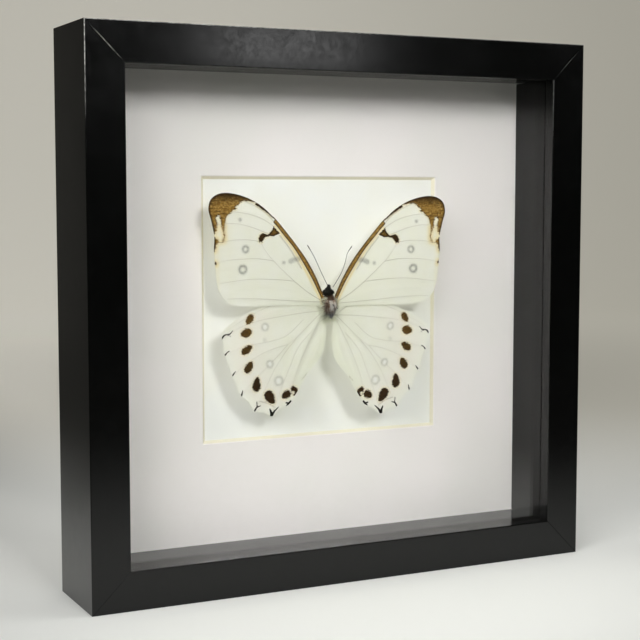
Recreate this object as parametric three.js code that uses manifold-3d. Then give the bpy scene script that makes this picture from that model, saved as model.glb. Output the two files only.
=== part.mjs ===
// A white morpho butterfly, set with open wings in a deep black box frame behind glass.
// Millimetres, +Z up. The origin is the middle of the frame's underside. The front faces -Y, right is +X.

import * as THREE from "three";
import { mergeVertices } from "three/addons/utils/BufferGeometryUtils.js";
import Module from "manifold-3d";

const wasm = await Module();
wasm.setup();

// Frame
const FRAME_SIZE = 250;
const FRAME_DEPTH = 45;
const FACE_WIDTH = 17.5;
const LIP_DEPTH = 6.5;
const RABBET_WIDTH = 6;
const MITRE_GAP = 0.16;
const FIT_GAP = 0.3;

// Layers inside the frame, from the front to the back
const GLASS_THICKNESS = 2;
const SPACER_INSET = 17;
const MAT_SETBACK = 33.2;
const MAT_THICKNESS = 1.6;
const WINDOW_SIZE = 123;
const BOARD_THICKNESS = 5;
const BACK_THICKNESS = 2.5;

// Back fittings
const TAB_WIDTH = 10;
const TAB_REACH = 9;
const TAB_GRIP = 3;
const TAB_THICKNESS = 0.8;
const TAB_OFFSET = 62;
const TAB_TIP_STEPS = 8;
const HANGER_WIDTH = 44;
const HANGER_HEIGHT = 11;
const HANGER_FOOT = 8;
const HANGER_RISE = 1.2;
const HANGER_SHEET = 0.8;
const HANGER_TEETH = 11;
const TOOTH_HEIGHT = 1.6;
const HANGER_TOP = 226;
const RIVET_RADIUS = 2;
const RIVET_HEIGHT = 1.1;
const RIVET_GAP = 0.1;
const RIVET_PROFILE = [[0, 0], [1, 0], [1, 0.3], [0.7, 0.8], [0, 1]];

// Butterfly: outlines are [distance out from the body's mid-plane, height], for one wing of each pair
const SPECIMEN_X = -2;
const WING_THICKNESS = 0.35;
const WING_RINGS = 4;
const WING_RAYS = 72;
const PLEAT_HEIGHT = 0.14;
const PLEAT_START = 14;
const FOREWING_OUTLINE = [
  [4.3, 132.0], [8.0, 139.9], [12.4, 147.4], [17.6, 154.4], [23.2, 161.1], [29.1, 167.6], [35.8, 173.2],
  [43.6, 177.0], [52.0, 178.7], [56.8, 178.0], [59.9, 175.7], [61.0, 171.5], [59.7, 166.3], [58.3, 159.5],
  [58.5, 153.1], [57.9, 145.5], [57.5, 141.1], [56.7, 136.8], [55.1, 132.7], [52.0, 129.6], [47.1, 127.7],
  [35.2, 127.3], [20.1, 127.3], [8.3, 126.8], [3.1, 126.4], [3.1, 129.6],
];
const HINDWING_OUTLINE = [
  [2.8, 125.7], [8.5, 129.6], [16.5, 131.2], [24.4, 130.6], [33.8, 127.5], [39.4, 125.0], [44.8, 122.7],
  [50.2, 119.9], [53.7, 116.9], [54.5, 113.9], [53.7, 110.5], [53.5, 106.7], [51.5, 102.2], [50.2, 97.6],
  [47.9, 93.0], [46.3, 87.9], [41.9, 84.1], [38.5, 79.1], [34.4, 78.8], [30.2, 76.5], [25.8, 79.6],
  [21.2, 81.6], [18.8, 84.8], [15.0, 90.1], [11.8, 95.1], [7.6, 99.4], [4.0, 104.1], [2.4, 109.8],
  [2.0, 115.6], [2.2, 120.5],
];
const FOREWING = { outline: FOREWING_OUTLINE, hub: [5.0, 128.7], pleats: 22 };
const HINDWING = { outline: HINDWING_OUTLINE, hub: [6.2, 123.0], pleats: 18 };
const HIND_CREST = 128;

// How each wing was set by hand. Its front face starts at front and changes by riseOut for each millimetre
// out and by riseDown for each one below the crest. In its own plane it has a turn about its root in degrees,
// a shift out and up, and a spread and a lean: shifts out for each millimetre out and each below the crest.
const FORE_LEVEL = { wing: FOREWING, front: -1.5, riseDown: 0, spread: 0, lean: 0 };
const HIND_LEVEL = { wing: HINDWING, front: -0.3 };
const WING_SETTING = {
  forewing_left: { ...FORE_LEVEL, side: -1, riseOut: -0.01, turn: 0, out: 0, up: 0 },
  forewing_right: { ...FORE_LEVEL, side: 1, riseOut: -0.05, turn: -0.76, out: -1.8, up: -0.9 },
  hindwing_left: {
    ...HIND_LEVEL, side: -1, riseOut: -0.01, riseDown: -0.02, turn: 0, out: 0, up: 0, spread: 0, lean: 0,
  },
  hindwing_right: {
    ...HIND_LEVEL, side: 1, riseOut: -0.05, riseDown: -0.065,
    turn: 0.62, out: 0, up: -2.2, spread: -0.035, lean: -0.1,
  },
};

// Body lumps: [centre x, y, z], [half width, half depth, half height]
const THORAX = [[-2.0, -0.4, 126.7], [2.7, 3.5, 4.7]];
const TAIL_STUB = [[-1.9, 0.2, 122.0], [1.8, 2.5, 2.1]];
const HEAD = [[-2.5, -0.8, 132.7], [2.0, 2.0, 1.7]];
const EYE_SPREAD = 1.7;
const EYE = [[-2.5, -0.8, 132.9], [1.3, 1.5, 1.4]];
const PALP_SPREAD = 0.45;
const PALP = [[-2.5, -1.6, 134.7], [0.55, 0.9, 1.5]];
const LUMP_SIDES = 16;
const LUMP_RINGS = 10;

// Two pairs of legs folded under the thorax, as points [out, y, z] from the body's middle
const LEG_RADIUS = 0.3;
const LEG_PATHS = [
  [[1.2, 2.0, 128.3], [3.4, 4.4, 129.9], [2.2, 5.4, 133.5], [3.0, 5.6, 137.7]],
  [[1.2, 2.2, 125.5], [4.0, 4.6, 123.7], [2.4, 5.5, 119.5], [3.2, 5.7, 114.9]],
];
const LEG_STEPS = 12;

const ANTENNA_RADIUS = 0.22;
const ANTENNA_STEPS = 16;
const TUBE_SIDES = 6;
const ANTENNAE = {
  antenna_left: [[-3.6, -2.4, 135.0], [-7.7, -2.6, 142.6], [-11.2, -2.8, 149.4], [-14.6, -2.8, 154.8]],
  antenna_right: [
    [-1.3, -2.4, 135.0], [3.1, -2.6, 141.9], [5.0, -2.7, 146.7], [5.9, -2.8, 150.4], [8.4, -2.8, 154.0],
  ],
};

const PIN_PLACE = [-2.3, 126.8];
const PIN_RADIUS = 0.25;
const PIN_HEAD_RADIUS = 0.6;
const PIN_HEAD_FRONT = -5;
const PIN_GRIP = 4;
const PIN_POINT = 1.5;
const PIN_SIDES = 12;
const PIN_HEAD_STEPS = 6;

// Places worked out from the sizes above
const HALF_SIZE = FRAME_SIZE / 2;
const FRONT_Y = -FRAME_DEPTH / 2;
const REAR_Y = FRAME_DEPTH / 2;
const GLASS_Y = FRONT_Y + LIP_DEPTH;
const SPACER_Y = GLASS_Y + GLASS_THICKNESS;
const MAT_Y = FRONT_Y + MAT_SETBACK;
const BOARD_Y = MAT_Y + MAT_THICKNESS;
const BACK_Y = BOARD_Y + BOARD_THICKNESS;
const BACK_END_Y = BACK_Y + BACK_THICKNESS;
const RABBET_INSET = FACE_WIDTH - RABBET_WIDTH;
const SHEET_INSET = RABBET_INSET + FIT_GAP;
const PIN_HEAD_Y = PIN_HEAD_FRONT + PIN_HEAD_RADIUS;
const PIN_END_Y = BOARD_Y + PIN_GRIP;
const PIN_BORE_RADIUS = PIN_RADIUS + FIT_GAP;

// Each side of the frame: outward direction in X and Z
const SIDES = {
  bottom: [0, -1],
  right: [1, 0],
  top: [0, 1],
  left: [-1, 0],
};

const MATERIALS = {
  frame: { color: 0x1c1d1b, roughness: 0.42, metalness: 0 },
  glass: { color: 0xe6efe9, roughness: 0.04, metalness: 0, transparent: true, opacity: 0.2 },
  spacer: { color: 0x232422, roughness: 0.7, metalness: 0 },
  mat: { color: 0xe9e6e4, roughness: 0.9, metalness: 0 },
  board: { color: 0xf0f2ec, roughness: 0.85, metalness: 0 },
  hardboard: { color: 0x6d4f34, roughness: 0.8, metalness: 0 },
  steel: { color: 0x9a9a98, roughness: 0.35, metalness: 1 },
  wing: { color: 0xe6ebdf, roughness: 0.7, metalness: 0 },
  body: { color: 0x54463a, roughness: 0.9, metalness: 0 },
  antenna: { color: 0x2a2622, roughness: 0.7, metalness: 0 },
  pin: { color: 0x26262a, roughness: 0.3, metalness: 1 },
};

const model = new THREE.Group();

function addPiece(name, geometry, finish) {
  geometry.computeVertexNormals();
  const mesh = new THREE.Mesh(geometry, new THREE.MeshStandardMaterial(MATERIALS[finish]));
  mesh.name = name;
  model.add(mesh);
}

function solidGeometry(points, triangles) {
  const geometry = new THREE.BufferGeometry().setFromPoints(points);
  const volume = triangles.reduce((sum, [a, b, c]) => {
    const normal = new THREE.Vector3().crossVectors(points[b], points[c]);
    return sum + points[a].dot(normal);
  }, 0);
  const outward = triangles.map(([a, b, c]) => (volume > 0 ? [a, b, c] : [a, c, b]));
  geometry.setIndex(outward.flat());
  return geometry;
}

// Joins like sections, each a loop of points, into one solid. An open run of sections is capped at both ends.
function loft(sections, closed = false) {
  const size = sections[0].length;
  const triangles = [];
  const spans = closed ? sections.length : sections.length - 1;
  for (let s = 0; s < spans; s += 1) {
    const near = s * size;
    const far = ((s + 1) % sections.length) * size;
    for (let i = 0; i < size; i += 1) {
      const j = (i + 1) % size;
      triangles.push([near + i, near + j, far + j], [near + i, far + j, far + i]);
    }
  }
  return { points: sections.flat(), triangles };
}

function capped(sections, flatSection) {
  const { points, triangles } = loft(sections);
  const last = (sections.length - 1) * flatSection.length;
  const cap = THREE.ShapeUtils.triangulateShape(flatSection, []);
  const signedArea = THREE.ShapeUtils.area(flatSection);
  for (const [a, b, c] of cap) {
    const [p, q, r] = signedArea > 0 ? [a, b, c] : [a, c, b];
    triangles.push([p, r, q], [last + p, last + q, last + r]);
  }
  return solidGeometry(points, triangles);
}

// A flat outline of [x, z] points, with a thickness in Y
function plate(outline, nearY, farY) {
  const sections = [nearY, farY].map((y) => outline.map(([x, z]) => new THREE.Vector3(x, y, z)));
  return capped(sections, outline.map(([x, z]) => new THREE.Vector2(x, z)));
}

function rectangle(left, right, low, high) {
  return [[left, low], [right, low], [right, high], [left, high]];
}

// A point in a side's own terms: along the side, in from the frame's outer edge, and Y
function sidePoint(side, along, inset, y) {
  const [outX, outZ] = SIDES[side];
  const x = outX * (HALF_SIZE - inset) - outZ * along;
  const z = HALF_SIZE + outZ * (HALF_SIZE - inset) + outX * along;
  return new THREE.Vector3(x, y, z);
}

function sideOutline(side, outline) {
  return outline.map(([along, inset]) => {
    const point = sidePoint(side, along, inset, 0);
    return [point.x, point.z];
  });
}

function toSolid(geometry) {
  const bare = new THREE.BufferGeometry();
  bare.setAttribute("position", geometry.getAttribute("position"));
  bare.setIndex(geometry.getIndex());
  const merged = mergeVertices(bare);
  const mesh = new wasm.Mesh({
    numProp: 3,
    vertProperties: new Float32Array(merged.getAttribute("position").array),
    triVerts: new Uint32Array(merged.getIndex().array),
  });
  return new wasm.Manifold(mesh);
}

function toGeometry(solid) {
  const mesh = solid.getMesh();
  const geometry = new THREE.BufferGeometry();
  geometry.setAttribute("position", new THREE.BufferAttribute(new Float32Array(mesh.vertProperties), 3));
  geometry.setIndex([...mesh.triVerts]);
  return geometry;
}

// Frame rails: an L section with a lip in front, mitred at both ends
const RAIL_SECTION = [
  [0, FRONT_Y],
  [FACE_WIDTH, FRONT_Y],
  [FACE_WIDTH, GLASS_Y],
  [RABBET_INSET, GLASS_Y],
  [RABBET_INSET, REAR_Y],
  [0, REAR_Y],
];

function rail(side) {
  const ends = [-1, 1].map((end) =>
    RAIL_SECTION.map(([inset, y]) => sidePoint(side, end * (HALF_SIZE - inset - MITRE_GAP / 2), inset, y)),
  );
  return toSolid(capped(ends, RAIL_SECTION.map(([inset, y]) => new THREE.Vector2(inset, y))));
}

function tabSlot(side, along) {
  const halfWidth = TAB_WIDTH / 2 + FIT_GAP;
  const mouth = RABBET_INSET + FIT_GAP;
  const slot = rectangle(along - halfWidth, along + halfWidth, RABBET_INSET - TAB_GRIP - FIT_GAP, mouth);
  const farY = BACK_END_Y + TAB_THICKNESS + FIT_GAP;
  return toSolid(plate(sideOutline(side, slot), BACK_END_Y - FIT_GAP, farY));
}

// A tab is driven into the rail's slot and lies on the back board, with a round tip
function tab(side, along) {
  const halfWidth = TAB_WIDTH / 2;
  const tipCentre = RABBET_INSET + TAB_REACH - halfWidth;
  const outline = [[along - halfWidth, RABBET_INSET - TAB_GRIP]];
  for (let i = 0; i <= TAB_TIP_STEPS; i += 1) {
    const angle = Math.PI - (Math.PI * i) / TAB_TIP_STEPS;
    outline.push([along + halfWidth * Math.cos(angle), tipCentre + halfWidth * Math.sin(angle)]);
  }
  outline.push([along + halfWidth, RABBET_INSET - TAB_GRIP]);
  return plate(sideOutline(side, outline), BACK_END_Y, BACK_END_Y + TAB_THICKNESS);
}

function addRailsAndTabs() {
  let tabNumber = 1;
  for (const side of Object.keys(SIDES)) {
    let solid = rail(side);
    for (const along of [-TAB_OFFSET, TAB_OFFSET]) {
      solid = solid.subtract(tabSlot(side, along));
      addPiece(`back_tab_${tabNumber}`, tab(side, along), "steel");
      tabNumber += 1;
    }
    addPiece(`frame_rail_${side}`, toGeometry(solid), "frame");
  }
}

function sheetOutline() {
  return rectangle(SHEET_INSET - HALF_SIZE, HALF_SIZE - SHEET_INSET, SHEET_INSET, FRAME_SIZE - SHEET_INSET);
}

// The top and bottom strips run the whole width, and the side strips stand between them
function addSpacers() {
  for (const side of Object.keys(SIDES)) {
    const whole = side === "top" || side === "bottom";
    const halfLength = HALF_SIZE - (whole ? SHEET_INSET : SPACER_INSET + FIT_GAP);
    const outline = rectangle(-halfLength, halfLength, SHEET_INSET, SPACER_INSET);
    addPiece(`spacer_${side}`, plate(sideOutline(side, outline), SPACER_Y, MAT_Y), "spacer");
  }
}

// The mat's window is cut at 45 degrees, so it is wider in front than behind
function mat() {
  const halfWindow = WINDOW_SIZE / 2;
  const outer = HALF_SIZE - SHEET_INSET;
  const section = [
    [outer, MAT_Y],
    [outer, BOARD_Y],
    [halfWindow - MAT_THICKNESS, BOARD_Y],
    [halfWindow, MAT_Y],
  ];
  const corners = [[-1, -1], [1, -1], [1, 1], [-1, 1]];
  const sections = corners.map(([sideX, sideZ]) =>
    section.map(([reach, y]) => new THREE.Vector3(sideX * reach, y, HALF_SIZE + sideZ * reach)),
  );
  const { points, triangles } = loft(sections, true);
  return solidGeometry(points, triangles);
}

// A round solid about a line along Y, from [radius, y] points that start and end on that line
function turnedAlongY(profile, sides, x, z) {
  const points = profile.map(([radius, y]) => new THREE.Vector2(radius, y));
  return new THREE.LatheGeometry(points, sides).translate(x, 0, z);
}

function pinBore() {
  const [x, z] = PIN_PLACE;
  const end = PIN_END_Y + FIT_GAP;
  const profile = [[0, FRONT_Y], [PIN_BORE_RADIUS, FRONT_Y], [PIN_BORE_RADIUS, end], [0, end]];
  return toSolid(turnedAlongY(profile, PIN_SIDES, x, z));
}

function mountingBoard() {
  return toGeometry(toSolid(plate(sheetOutline(), BOARD_Y, BACK_Y)).subtract(pinBore()));
}

function pin() {
  const [x, z] = PIN_PLACE;
  const profile = [[0, PIN_HEAD_FRONT]];
  const neck = Math.PI - Math.asin(PIN_RADIUS / PIN_HEAD_RADIUS);
  for (let i = 1; i <= PIN_HEAD_STEPS; i += 1) {
    const angle = (neck * i) / PIN_HEAD_STEPS;
    profile.push([PIN_HEAD_RADIUS * Math.sin(angle), PIN_HEAD_Y - PIN_HEAD_RADIUS * Math.cos(angle)]);
  }
  profile.push([PIN_RADIUS, PIN_END_Y - PIN_POINT], [0, PIN_END_Y]);
  return turnedAlongY(profile, PIN_SIDES, x, z);
}

// A sawtooth hanger: a strip whose middle stands off the board, with teeth along its lower edge
function hanger() {
  const half = HANGER_WIDTH / 2;
  const bridge = half - HANGER_FOOT;
  const foot = BACK_END_Y;
  const profile = [
    [-half, foot], [-bridge, foot], [-bridge + HANGER_RISE, foot + HANGER_RISE],
    [bridge - HANGER_RISE, foot + HANGER_RISE], [bridge, foot], [half, foot],
    [half, foot + HANGER_SHEET], [bridge, foot + HANGER_SHEET],
    [bridge - HANGER_RISE, foot + HANGER_RISE + HANGER_SHEET],
    [-bridge + HANGER_RISE, foot + HANGER_RISE + HANGER_SHEET],
    [-bridge, foot + HANGER_SHEET], [-half, foot + HANGER_SHEET],
  ];
  const low = HANGER_TOP - HANGER_HEIGHT;
  const ends = [low, HANGER_TOP].map((z) => profile.map(([x, y]) => new THREE.Vector3(x, y, z)));
  const strip = capped(ends, profile.map(([x, y]) => new THREE.Vector2(x, y)));
  const outline = [[-half, HANGER_TOP], [-half, low]];
  const pitch = (2 * bridge) / HANGER_TEETH;
  for (let i = 0; i < HANGER_TEETH; i += 1) {
    const left = -bridge + i * pitch;
    outline.push([left, low], [left + pitch / 2, low + TOOTH_HEIGHT]);
  }
  outline.push([bridge, low], [half, low], [half, HANGER_TOP]);
  const toothed = plate(outline, foot - FIT_GAP, REAR_Y);
  return toGeometry(toSolid(strip).intersect(toSolid(toothed)));
}

function rivet(x) {
  const base = BACK_END_Y + HANGER_SHEET + RIVET_GAP;
  const profile = RIVET_PROFILE.map(([r, height]) => [r * RIVET_RADIUS, base + height * RIVET_HEIGHT]);
  return turnedAlongY(profile, PIN_SIDES, x, HANGER_TOP - HANGER_HEIGHT / 2);
}

function addHanger() {
  addPiece("hanger", hanger(), "steel");
  const rivetX = (HANGER_WIDTH - HANGER_FOOT) / 2;
  addPiece("hanger_rivet_left", rivet(-rivetX), "steel");
  addPiece("hanger_rivet_right", rivet(rivetX), "steel");
}

// An egg-shaped lump of the body, moved out by shift and grown by margin
function lump([centre, halves], shift = 0, margin = 0) {
  const geometry = new THREE.SphereGeometry(1, LUMP_SIDES, LUMP_RINGS);
  geometry.scale(halves[0] + margin, halves[1] + margin, halves[2] + margin);
  geometry.translate(centre[0] + shift, centre[1], centre[2]);
  return toSolid(geometry);
}

function tube(path, radius, steps) {
  const section = new THREE.Shape();
  for (let i = 0; i < TUBE_SIDES; i += 1) {
    const angle = (2 * Math.PI * i) / TUBE_SIDES;
    const move = i === 0 ? "moveTo" : "lineTo";
    section[move](radius * Math.cos(angle), radius * Math.sin(angle));
  }
  const curve = new THREE.CatmullRomCurve3(path.map((point) => new THREE.Vector3(...point)));
  return new THREE.ExtrudeGeometry(section, { extrudePath: curve, steps, curveSegments: 1 });
}

function leg(path, side) {
  const middle = THORAX[0][0];
  const placed = path.map(([out, y, z]) => [middle + side * out, y, z]);
  return toSolid(tube(placed, LEG_RADIUS, LEG_STEPS));
}

function insectBody() {
  let solid = lump(THORAX).add(lump(TAIL_STUB)).add(lump(HEAD));
  for (const side of [-1, 1]) {
    solid = solid.add(lump(EYE, side * EYE_SPREAD)).add(lump(PALP, side * PALP_SPREAD));
    for (const path of LEG_PATHS) {
      solid = solid.add(leg(path, side));
    }
  }
  return toGeometry(solid.subtract(pinBore()));
}

// Where a wing's front face lies: a level, its slopes out to the tip and down to the tail, and shallow pleats
function wingY({ wing, front, riseOut, riseDown }, out, height) {
  const [hubOut, hubHeight] = wing.hub;
  const reach = Math.hypot(out - hubOut, height - hubHeight);
  const angle = Math.atan2(height - hubHeight, out - hubOut);
  const pleat = PLEAT_HEIGHT * Math.cos(wing.pleats * angle) * Math.min(1, reach / PLEAT_START);
  const down = Math.max(0, HIND_CREST - height);
  return front + riseOut * out + riseDown * down + pleat;
}

function setWing({ side, turn, out, up, spread, lean, wing }, point, y) {
  const angle = THREE.MathUtils.degToRad(turn);
  const [rootOut, rootHeight] = wing.hub;
  const du = point.x - rootOut;
  const dz = point.y - rootHeight;
  const leaning = spread * du + lean * Math.max(0, HIND_CREST - point.y);
  const placedOut = rootOut + du * Math.cos(angle) - dz * Math.sin(angle) + out + leaning;
  const placedHeight = rootHeight + du * Math.sin(angle) + dz * Math.cos(angle) + up;
  return new THREE.Vector3(SPECIMEN_X + side * placedOut, y, placedHeight);
}

// A wing is a thin sheet of rings round its hub, cut to stay clear of the body
function wingGeometry(setting) {
  const { wing } = setting;
  const hub = new THREE.Vector3(wing.hub[0], wing.hub[1], 0);
  const corners = wing.outline.map(([out, height]) => new THREE.Vector3(out, height, 0));
  const rim = new THREE.CatmullRomCurve3(corners, true).getSpacedPoints(WING_RAYS).slice(0, WING_RAYS);
  const flat = [hub];
  for (let ring = 1; ring <= WING_RINGS; ring += 1) {
    for (const point of rim) {
      flat.push(hub.clone().lerp(point, ring / WING_RINGS));
    }
  }
  const points = [];
  for (const thickness of [0, WING_THICKNESS]) {
    for (const point of flat) {
      points.push(setWing(setting, point, wingY(setting, point.x, point.y) + thickness));
    }
  }
  const triangles = wingTriangles(flat.length);
  return toGeometry(toSolid(solidGeometry(points, triangles)).subtract(bodyClearance()));
}

function wingTriangles(layer) {
  const triangles = [];
  const rimStart = 1 + (WING_RINGS - 1) * WING_RAYS;
  for (let i = 0; i < WING_RAYS; i += 1) {
    const j = (i + 1) % WING_RAYS;
    triangles.push([0, 1 + i, 1 + j], [layer, layer + 1 + j, layer + 1 + i]);
    for (let ring = 0; ring < WING_RINGS - 1; ring += 1) {
      const inner = 1 + ring * WING_RAYS;
      const outer = inner + WING_RAYS;
      triangles.push([inner + i, outer + i, outer + j], [inner + i, outer + j, inner + j]);
      triangles.push([layer + inner + i, layer + outer + j, layer + outer + i]);
      triangles.push([layer + inner + i, layer + inner + j, layer + outer + j]);
    }
    triangles.push([rimStart + i, layer + rimStart + i, layer + rimStart + j]);
    triangles.push([rimStart + i, layer + rimStart + j, rimStart + j]);
  }
  return triangles;
}

function bodyClearance() {
  return lump(THORAX, 0, FIT_GAP).add(lump(TAIL_STUB, 0, FIT_GAP)).add(lump(HEAD, 0, FIT_GAP));
}

function addButterfly() {
  addPiece("insect_body", insectBody(), "body");
  for (const [name, setting] of Object.entries(WING_SETTING)) {
    addPiece(name, wingGeometry(setting), "wing");
  }
  for (const [name, path] of Object.entries(ANTENNAE)) {
    addPiece(name, tube(path, ANTENNA_RADIUS, ANTENNA_STEPS), "antenna");
  }
  addPiece("pin", pin(), "pin");
}

addRailsAndTabs();
addPiece("glass_pane", plate(sheetOutline(), GLASS_Y, SPACER_Y), "glass");
addSpacers();
addPiece("mat", mat(), "mat");
addPiece("mounting_board", mountingBoard(), "board");
addPiece("back_board", plate(sheetOutline(), BACK_Y, BACK_END_Y), "hardboard");
addHanger();
addButterfly();

export default model;
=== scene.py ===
"""A white morpho butterfly in a deep black box frame: the looks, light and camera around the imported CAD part.

Lengths are in millimetres until a mesh is made. The frame's own axes are used: X right, Y away, Z up.
"""

import math

import bmesh
import bpy
import numpy as np
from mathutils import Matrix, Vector, geometry


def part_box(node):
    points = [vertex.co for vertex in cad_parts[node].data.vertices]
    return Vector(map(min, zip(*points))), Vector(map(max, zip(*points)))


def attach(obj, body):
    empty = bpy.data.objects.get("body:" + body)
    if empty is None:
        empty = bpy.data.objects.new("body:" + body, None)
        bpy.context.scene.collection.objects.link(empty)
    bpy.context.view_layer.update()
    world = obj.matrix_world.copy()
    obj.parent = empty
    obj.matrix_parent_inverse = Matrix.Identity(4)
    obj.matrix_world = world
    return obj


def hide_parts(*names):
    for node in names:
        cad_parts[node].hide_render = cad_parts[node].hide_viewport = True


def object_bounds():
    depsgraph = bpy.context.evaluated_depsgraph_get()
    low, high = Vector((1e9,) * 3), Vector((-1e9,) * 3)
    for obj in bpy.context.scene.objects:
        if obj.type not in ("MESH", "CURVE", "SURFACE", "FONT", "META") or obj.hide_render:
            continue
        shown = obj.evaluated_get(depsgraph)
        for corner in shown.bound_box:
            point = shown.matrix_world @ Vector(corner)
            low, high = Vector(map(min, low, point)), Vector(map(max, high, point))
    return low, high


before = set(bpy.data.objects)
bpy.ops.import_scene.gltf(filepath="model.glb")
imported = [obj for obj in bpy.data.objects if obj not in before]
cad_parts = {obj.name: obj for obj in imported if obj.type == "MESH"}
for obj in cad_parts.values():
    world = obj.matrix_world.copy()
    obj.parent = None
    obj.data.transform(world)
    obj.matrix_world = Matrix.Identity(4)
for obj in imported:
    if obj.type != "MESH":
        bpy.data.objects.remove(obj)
cad_low, cad_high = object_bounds()

MM = 0.001
rng = np.random.default_rng(7)

# Camera, solved from the frame's corners in the photograph
PHOTO_SIZE = 640
FOCAL_PIXELS = 1444.4
CAMERA_AZIMUTH = math.radians(-26.33)
CAMERA_ELEVATION = math.radians(5.08)
CAMERA_DISTANCE = 672.7
CAMERA_TARGET = (-6.45, 0.0, 119.7)
CAMERA_SENSOR = 36

FACE_WIDTH = 17.5
FRAME_LOW, FRAME_HIGH = np.array(cad_low) / MM, np.array(cad_high) / MM


def corners(node):
    """A node's lowest and highest corner in millimetres."""
    return [np.array(corner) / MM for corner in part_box(node)]


def add_object(name, data):
    """A new object in the scene."""
    made = bpy.data.objects.new(name, data)
    bpy.context.scene.collection.objects.link(made)
    return made


# ---------------------------------------------------------------- node materials

def linear(red, green, blue):
    """A screen colour of 0 to 255 as a shader's colour."""
    channels = np.array([red, green, blue]) / 255
    return (*np.where(channels <= 0.04045, channels / 12.92, ((channels + 0.055) / 1.055) ** 2.4), 1.0)


class Shader:
    """A material whose nodes are made by short calls. A value that is a socket is linked."""

    def __init__(self, name):
        self.material = bpy.data.materials.new(name)
        self.material.use_nodes = True
        self.tree = self.material.node_tree
        self.tree.nodes.clear()
        self.place = self.node("VectorMath", {0: self.node("TexCoord").outputs["Object"], 1: (1 / MM,) * 3},
                               operation="MULTIPLY").outputs[0]

    def node(self, kind, values=None, **settings):
        made = self.tree.nodes.new("ShaderNode" + kind)
        for key, value in settings.items():
            setattr(made, key, value)
        for key, value in (values or {}).items():
            if isinstance(value, bpy.types.NodeSocket):
                self.tree.links.new(value, made.inputs[key])
            else:
                made.inputs[key].default_value = value
        return made

    def math(self, operation, first, second=0.0):
        return self.node("Math", {0: first, 1: second}, operation=operation).outputs[0]

    def times(self, first, second):
        return self.math("MULTIPLY", first, second)

    def plus(self, first, second):
        return self.math("ADD", first, second)

    def minus(self, first, second):
        return self.math("SUBTRACT", first, second)

    def over(self, first, second):
        return self.math("DIVIDE", first, second)

    def larger(self, first, second):
        return self.math("MAXIMUM", first, second)

    def size(self, value):
        return self.math("ABSOLUTE", value)

    def step(self, value, low, high, to_low=0.0, to_high=1.0):
        """A smooth step from one level to another as value goes from low to high."""
        return self.node("MapRange", {"Value": value, "From Min": low, "From Max": high, "To Min": to_low,
                                      "To Max": to_high}, interpolation_type="SMOOTHSTEP").outputs[0]

    def mix(self, share, first, second):
        """A colour between two others: the first at a share of 0, the second at 1."""
        return self.node("Mix", {0: share, 6: first, 7: second}, data_type="RGBA").outputs[2]

    def axis(self, name):
        """One coordinate of the shaded place, in millimetres."""
        return self.node("SeparateXYZ", {0: self.place}).outputs[name]

    def stretched(self, stretch, source=None):
        return self.node("VectorMath", {0: source or self.place, 1: [1 / s for s in stretch]},
                         operation="MULTIPLY").outputs[0]

    def noise(self, size, detail=3.0, rough=0.5, stretch=(1, 1, 1), source=None, twist=0.0):
        """Cloudy noise from 0 to 1, with blobs of about the given size in millimetres."""
        return self.node("TexNoise", {"Vector": self.stretched(stretch, source), "Scale": 1 / size, "Detail": detail,
                                      "Roughness": rough, "Distortion": twist}).outputs["Fac"]

    def specks(self, cell, radius, share):
        """Scattered specks: 1 inside a speck. share is how many of the cells hold one."""
        cells = self.node("TexVoronoi", {"Vector": self.place, "Scale": 1 / cell})
        chosen = self.math("LESS_THAN", self.node("SeparateColor", {0: cells.outputs["Color"]}).outputs[0], share)
        spot = self.step(cells.outputs["Distance"], radius / cell, radius / cell * 0.6)
        return self.times(chosen, spot)

    def attribute(self, name):
        return self.node("Attribute", attribute_name=name).outputs["Fac"]

    def bump(self, height, depth, below=None):
        """Relief of the given depth in millimetres."""
        values = {"Height": height, "Distance": depth * MM, "Strength": 1.0}
        if below is not None:
            values["Normal"] = below
        return self.node("Bump", values).outputs[0]

    def finish(self, shader):
        output = self.node("OutputMaterial")
        self.tree.links.new(shader, output.inputs["Surface"])
        return self.material

    def surface(self, colour, rough, relief=None, **others):
        """A common surface. The names of its other inputs have an underscore for each space."""
        values = {"Base Color": colour, "Roughness": rough}
        values.update({key.replace("_", " "): value for key, value in others.items()})
        if relief is not None:
            values["Normal"] = relief
        return self.node("BsdfPrincipled", values).outputs[0]


# Painted highlights on the lacquer edges: how wide the line is, where along the edge it starts and is full, and how
# pale it gets there
ARRIS_WIDTH, MITRE_WIDTH = (0.52, 0.2), (0.36, 0.14)
LEFT_ARRIS = (FRAME_HIGH[2] - 44, FRAME_HIGH[2] - 14, 0.0, 0.62)
TOP_ARRIS = (60.0, FRAME_LOW[0] + 6, 0.12, 0.6)
LIP_ARRIS = (196, 226, 0.0, 0.09)
MITRE_MIDDLE, MITRE_RUN = FRAME_HIGH[2] - 0.55 * FACE_WIDTH, (7.5, 1.0)
MITRE_SIDES = (-20, 20, 0.5, 0.09)


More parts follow.
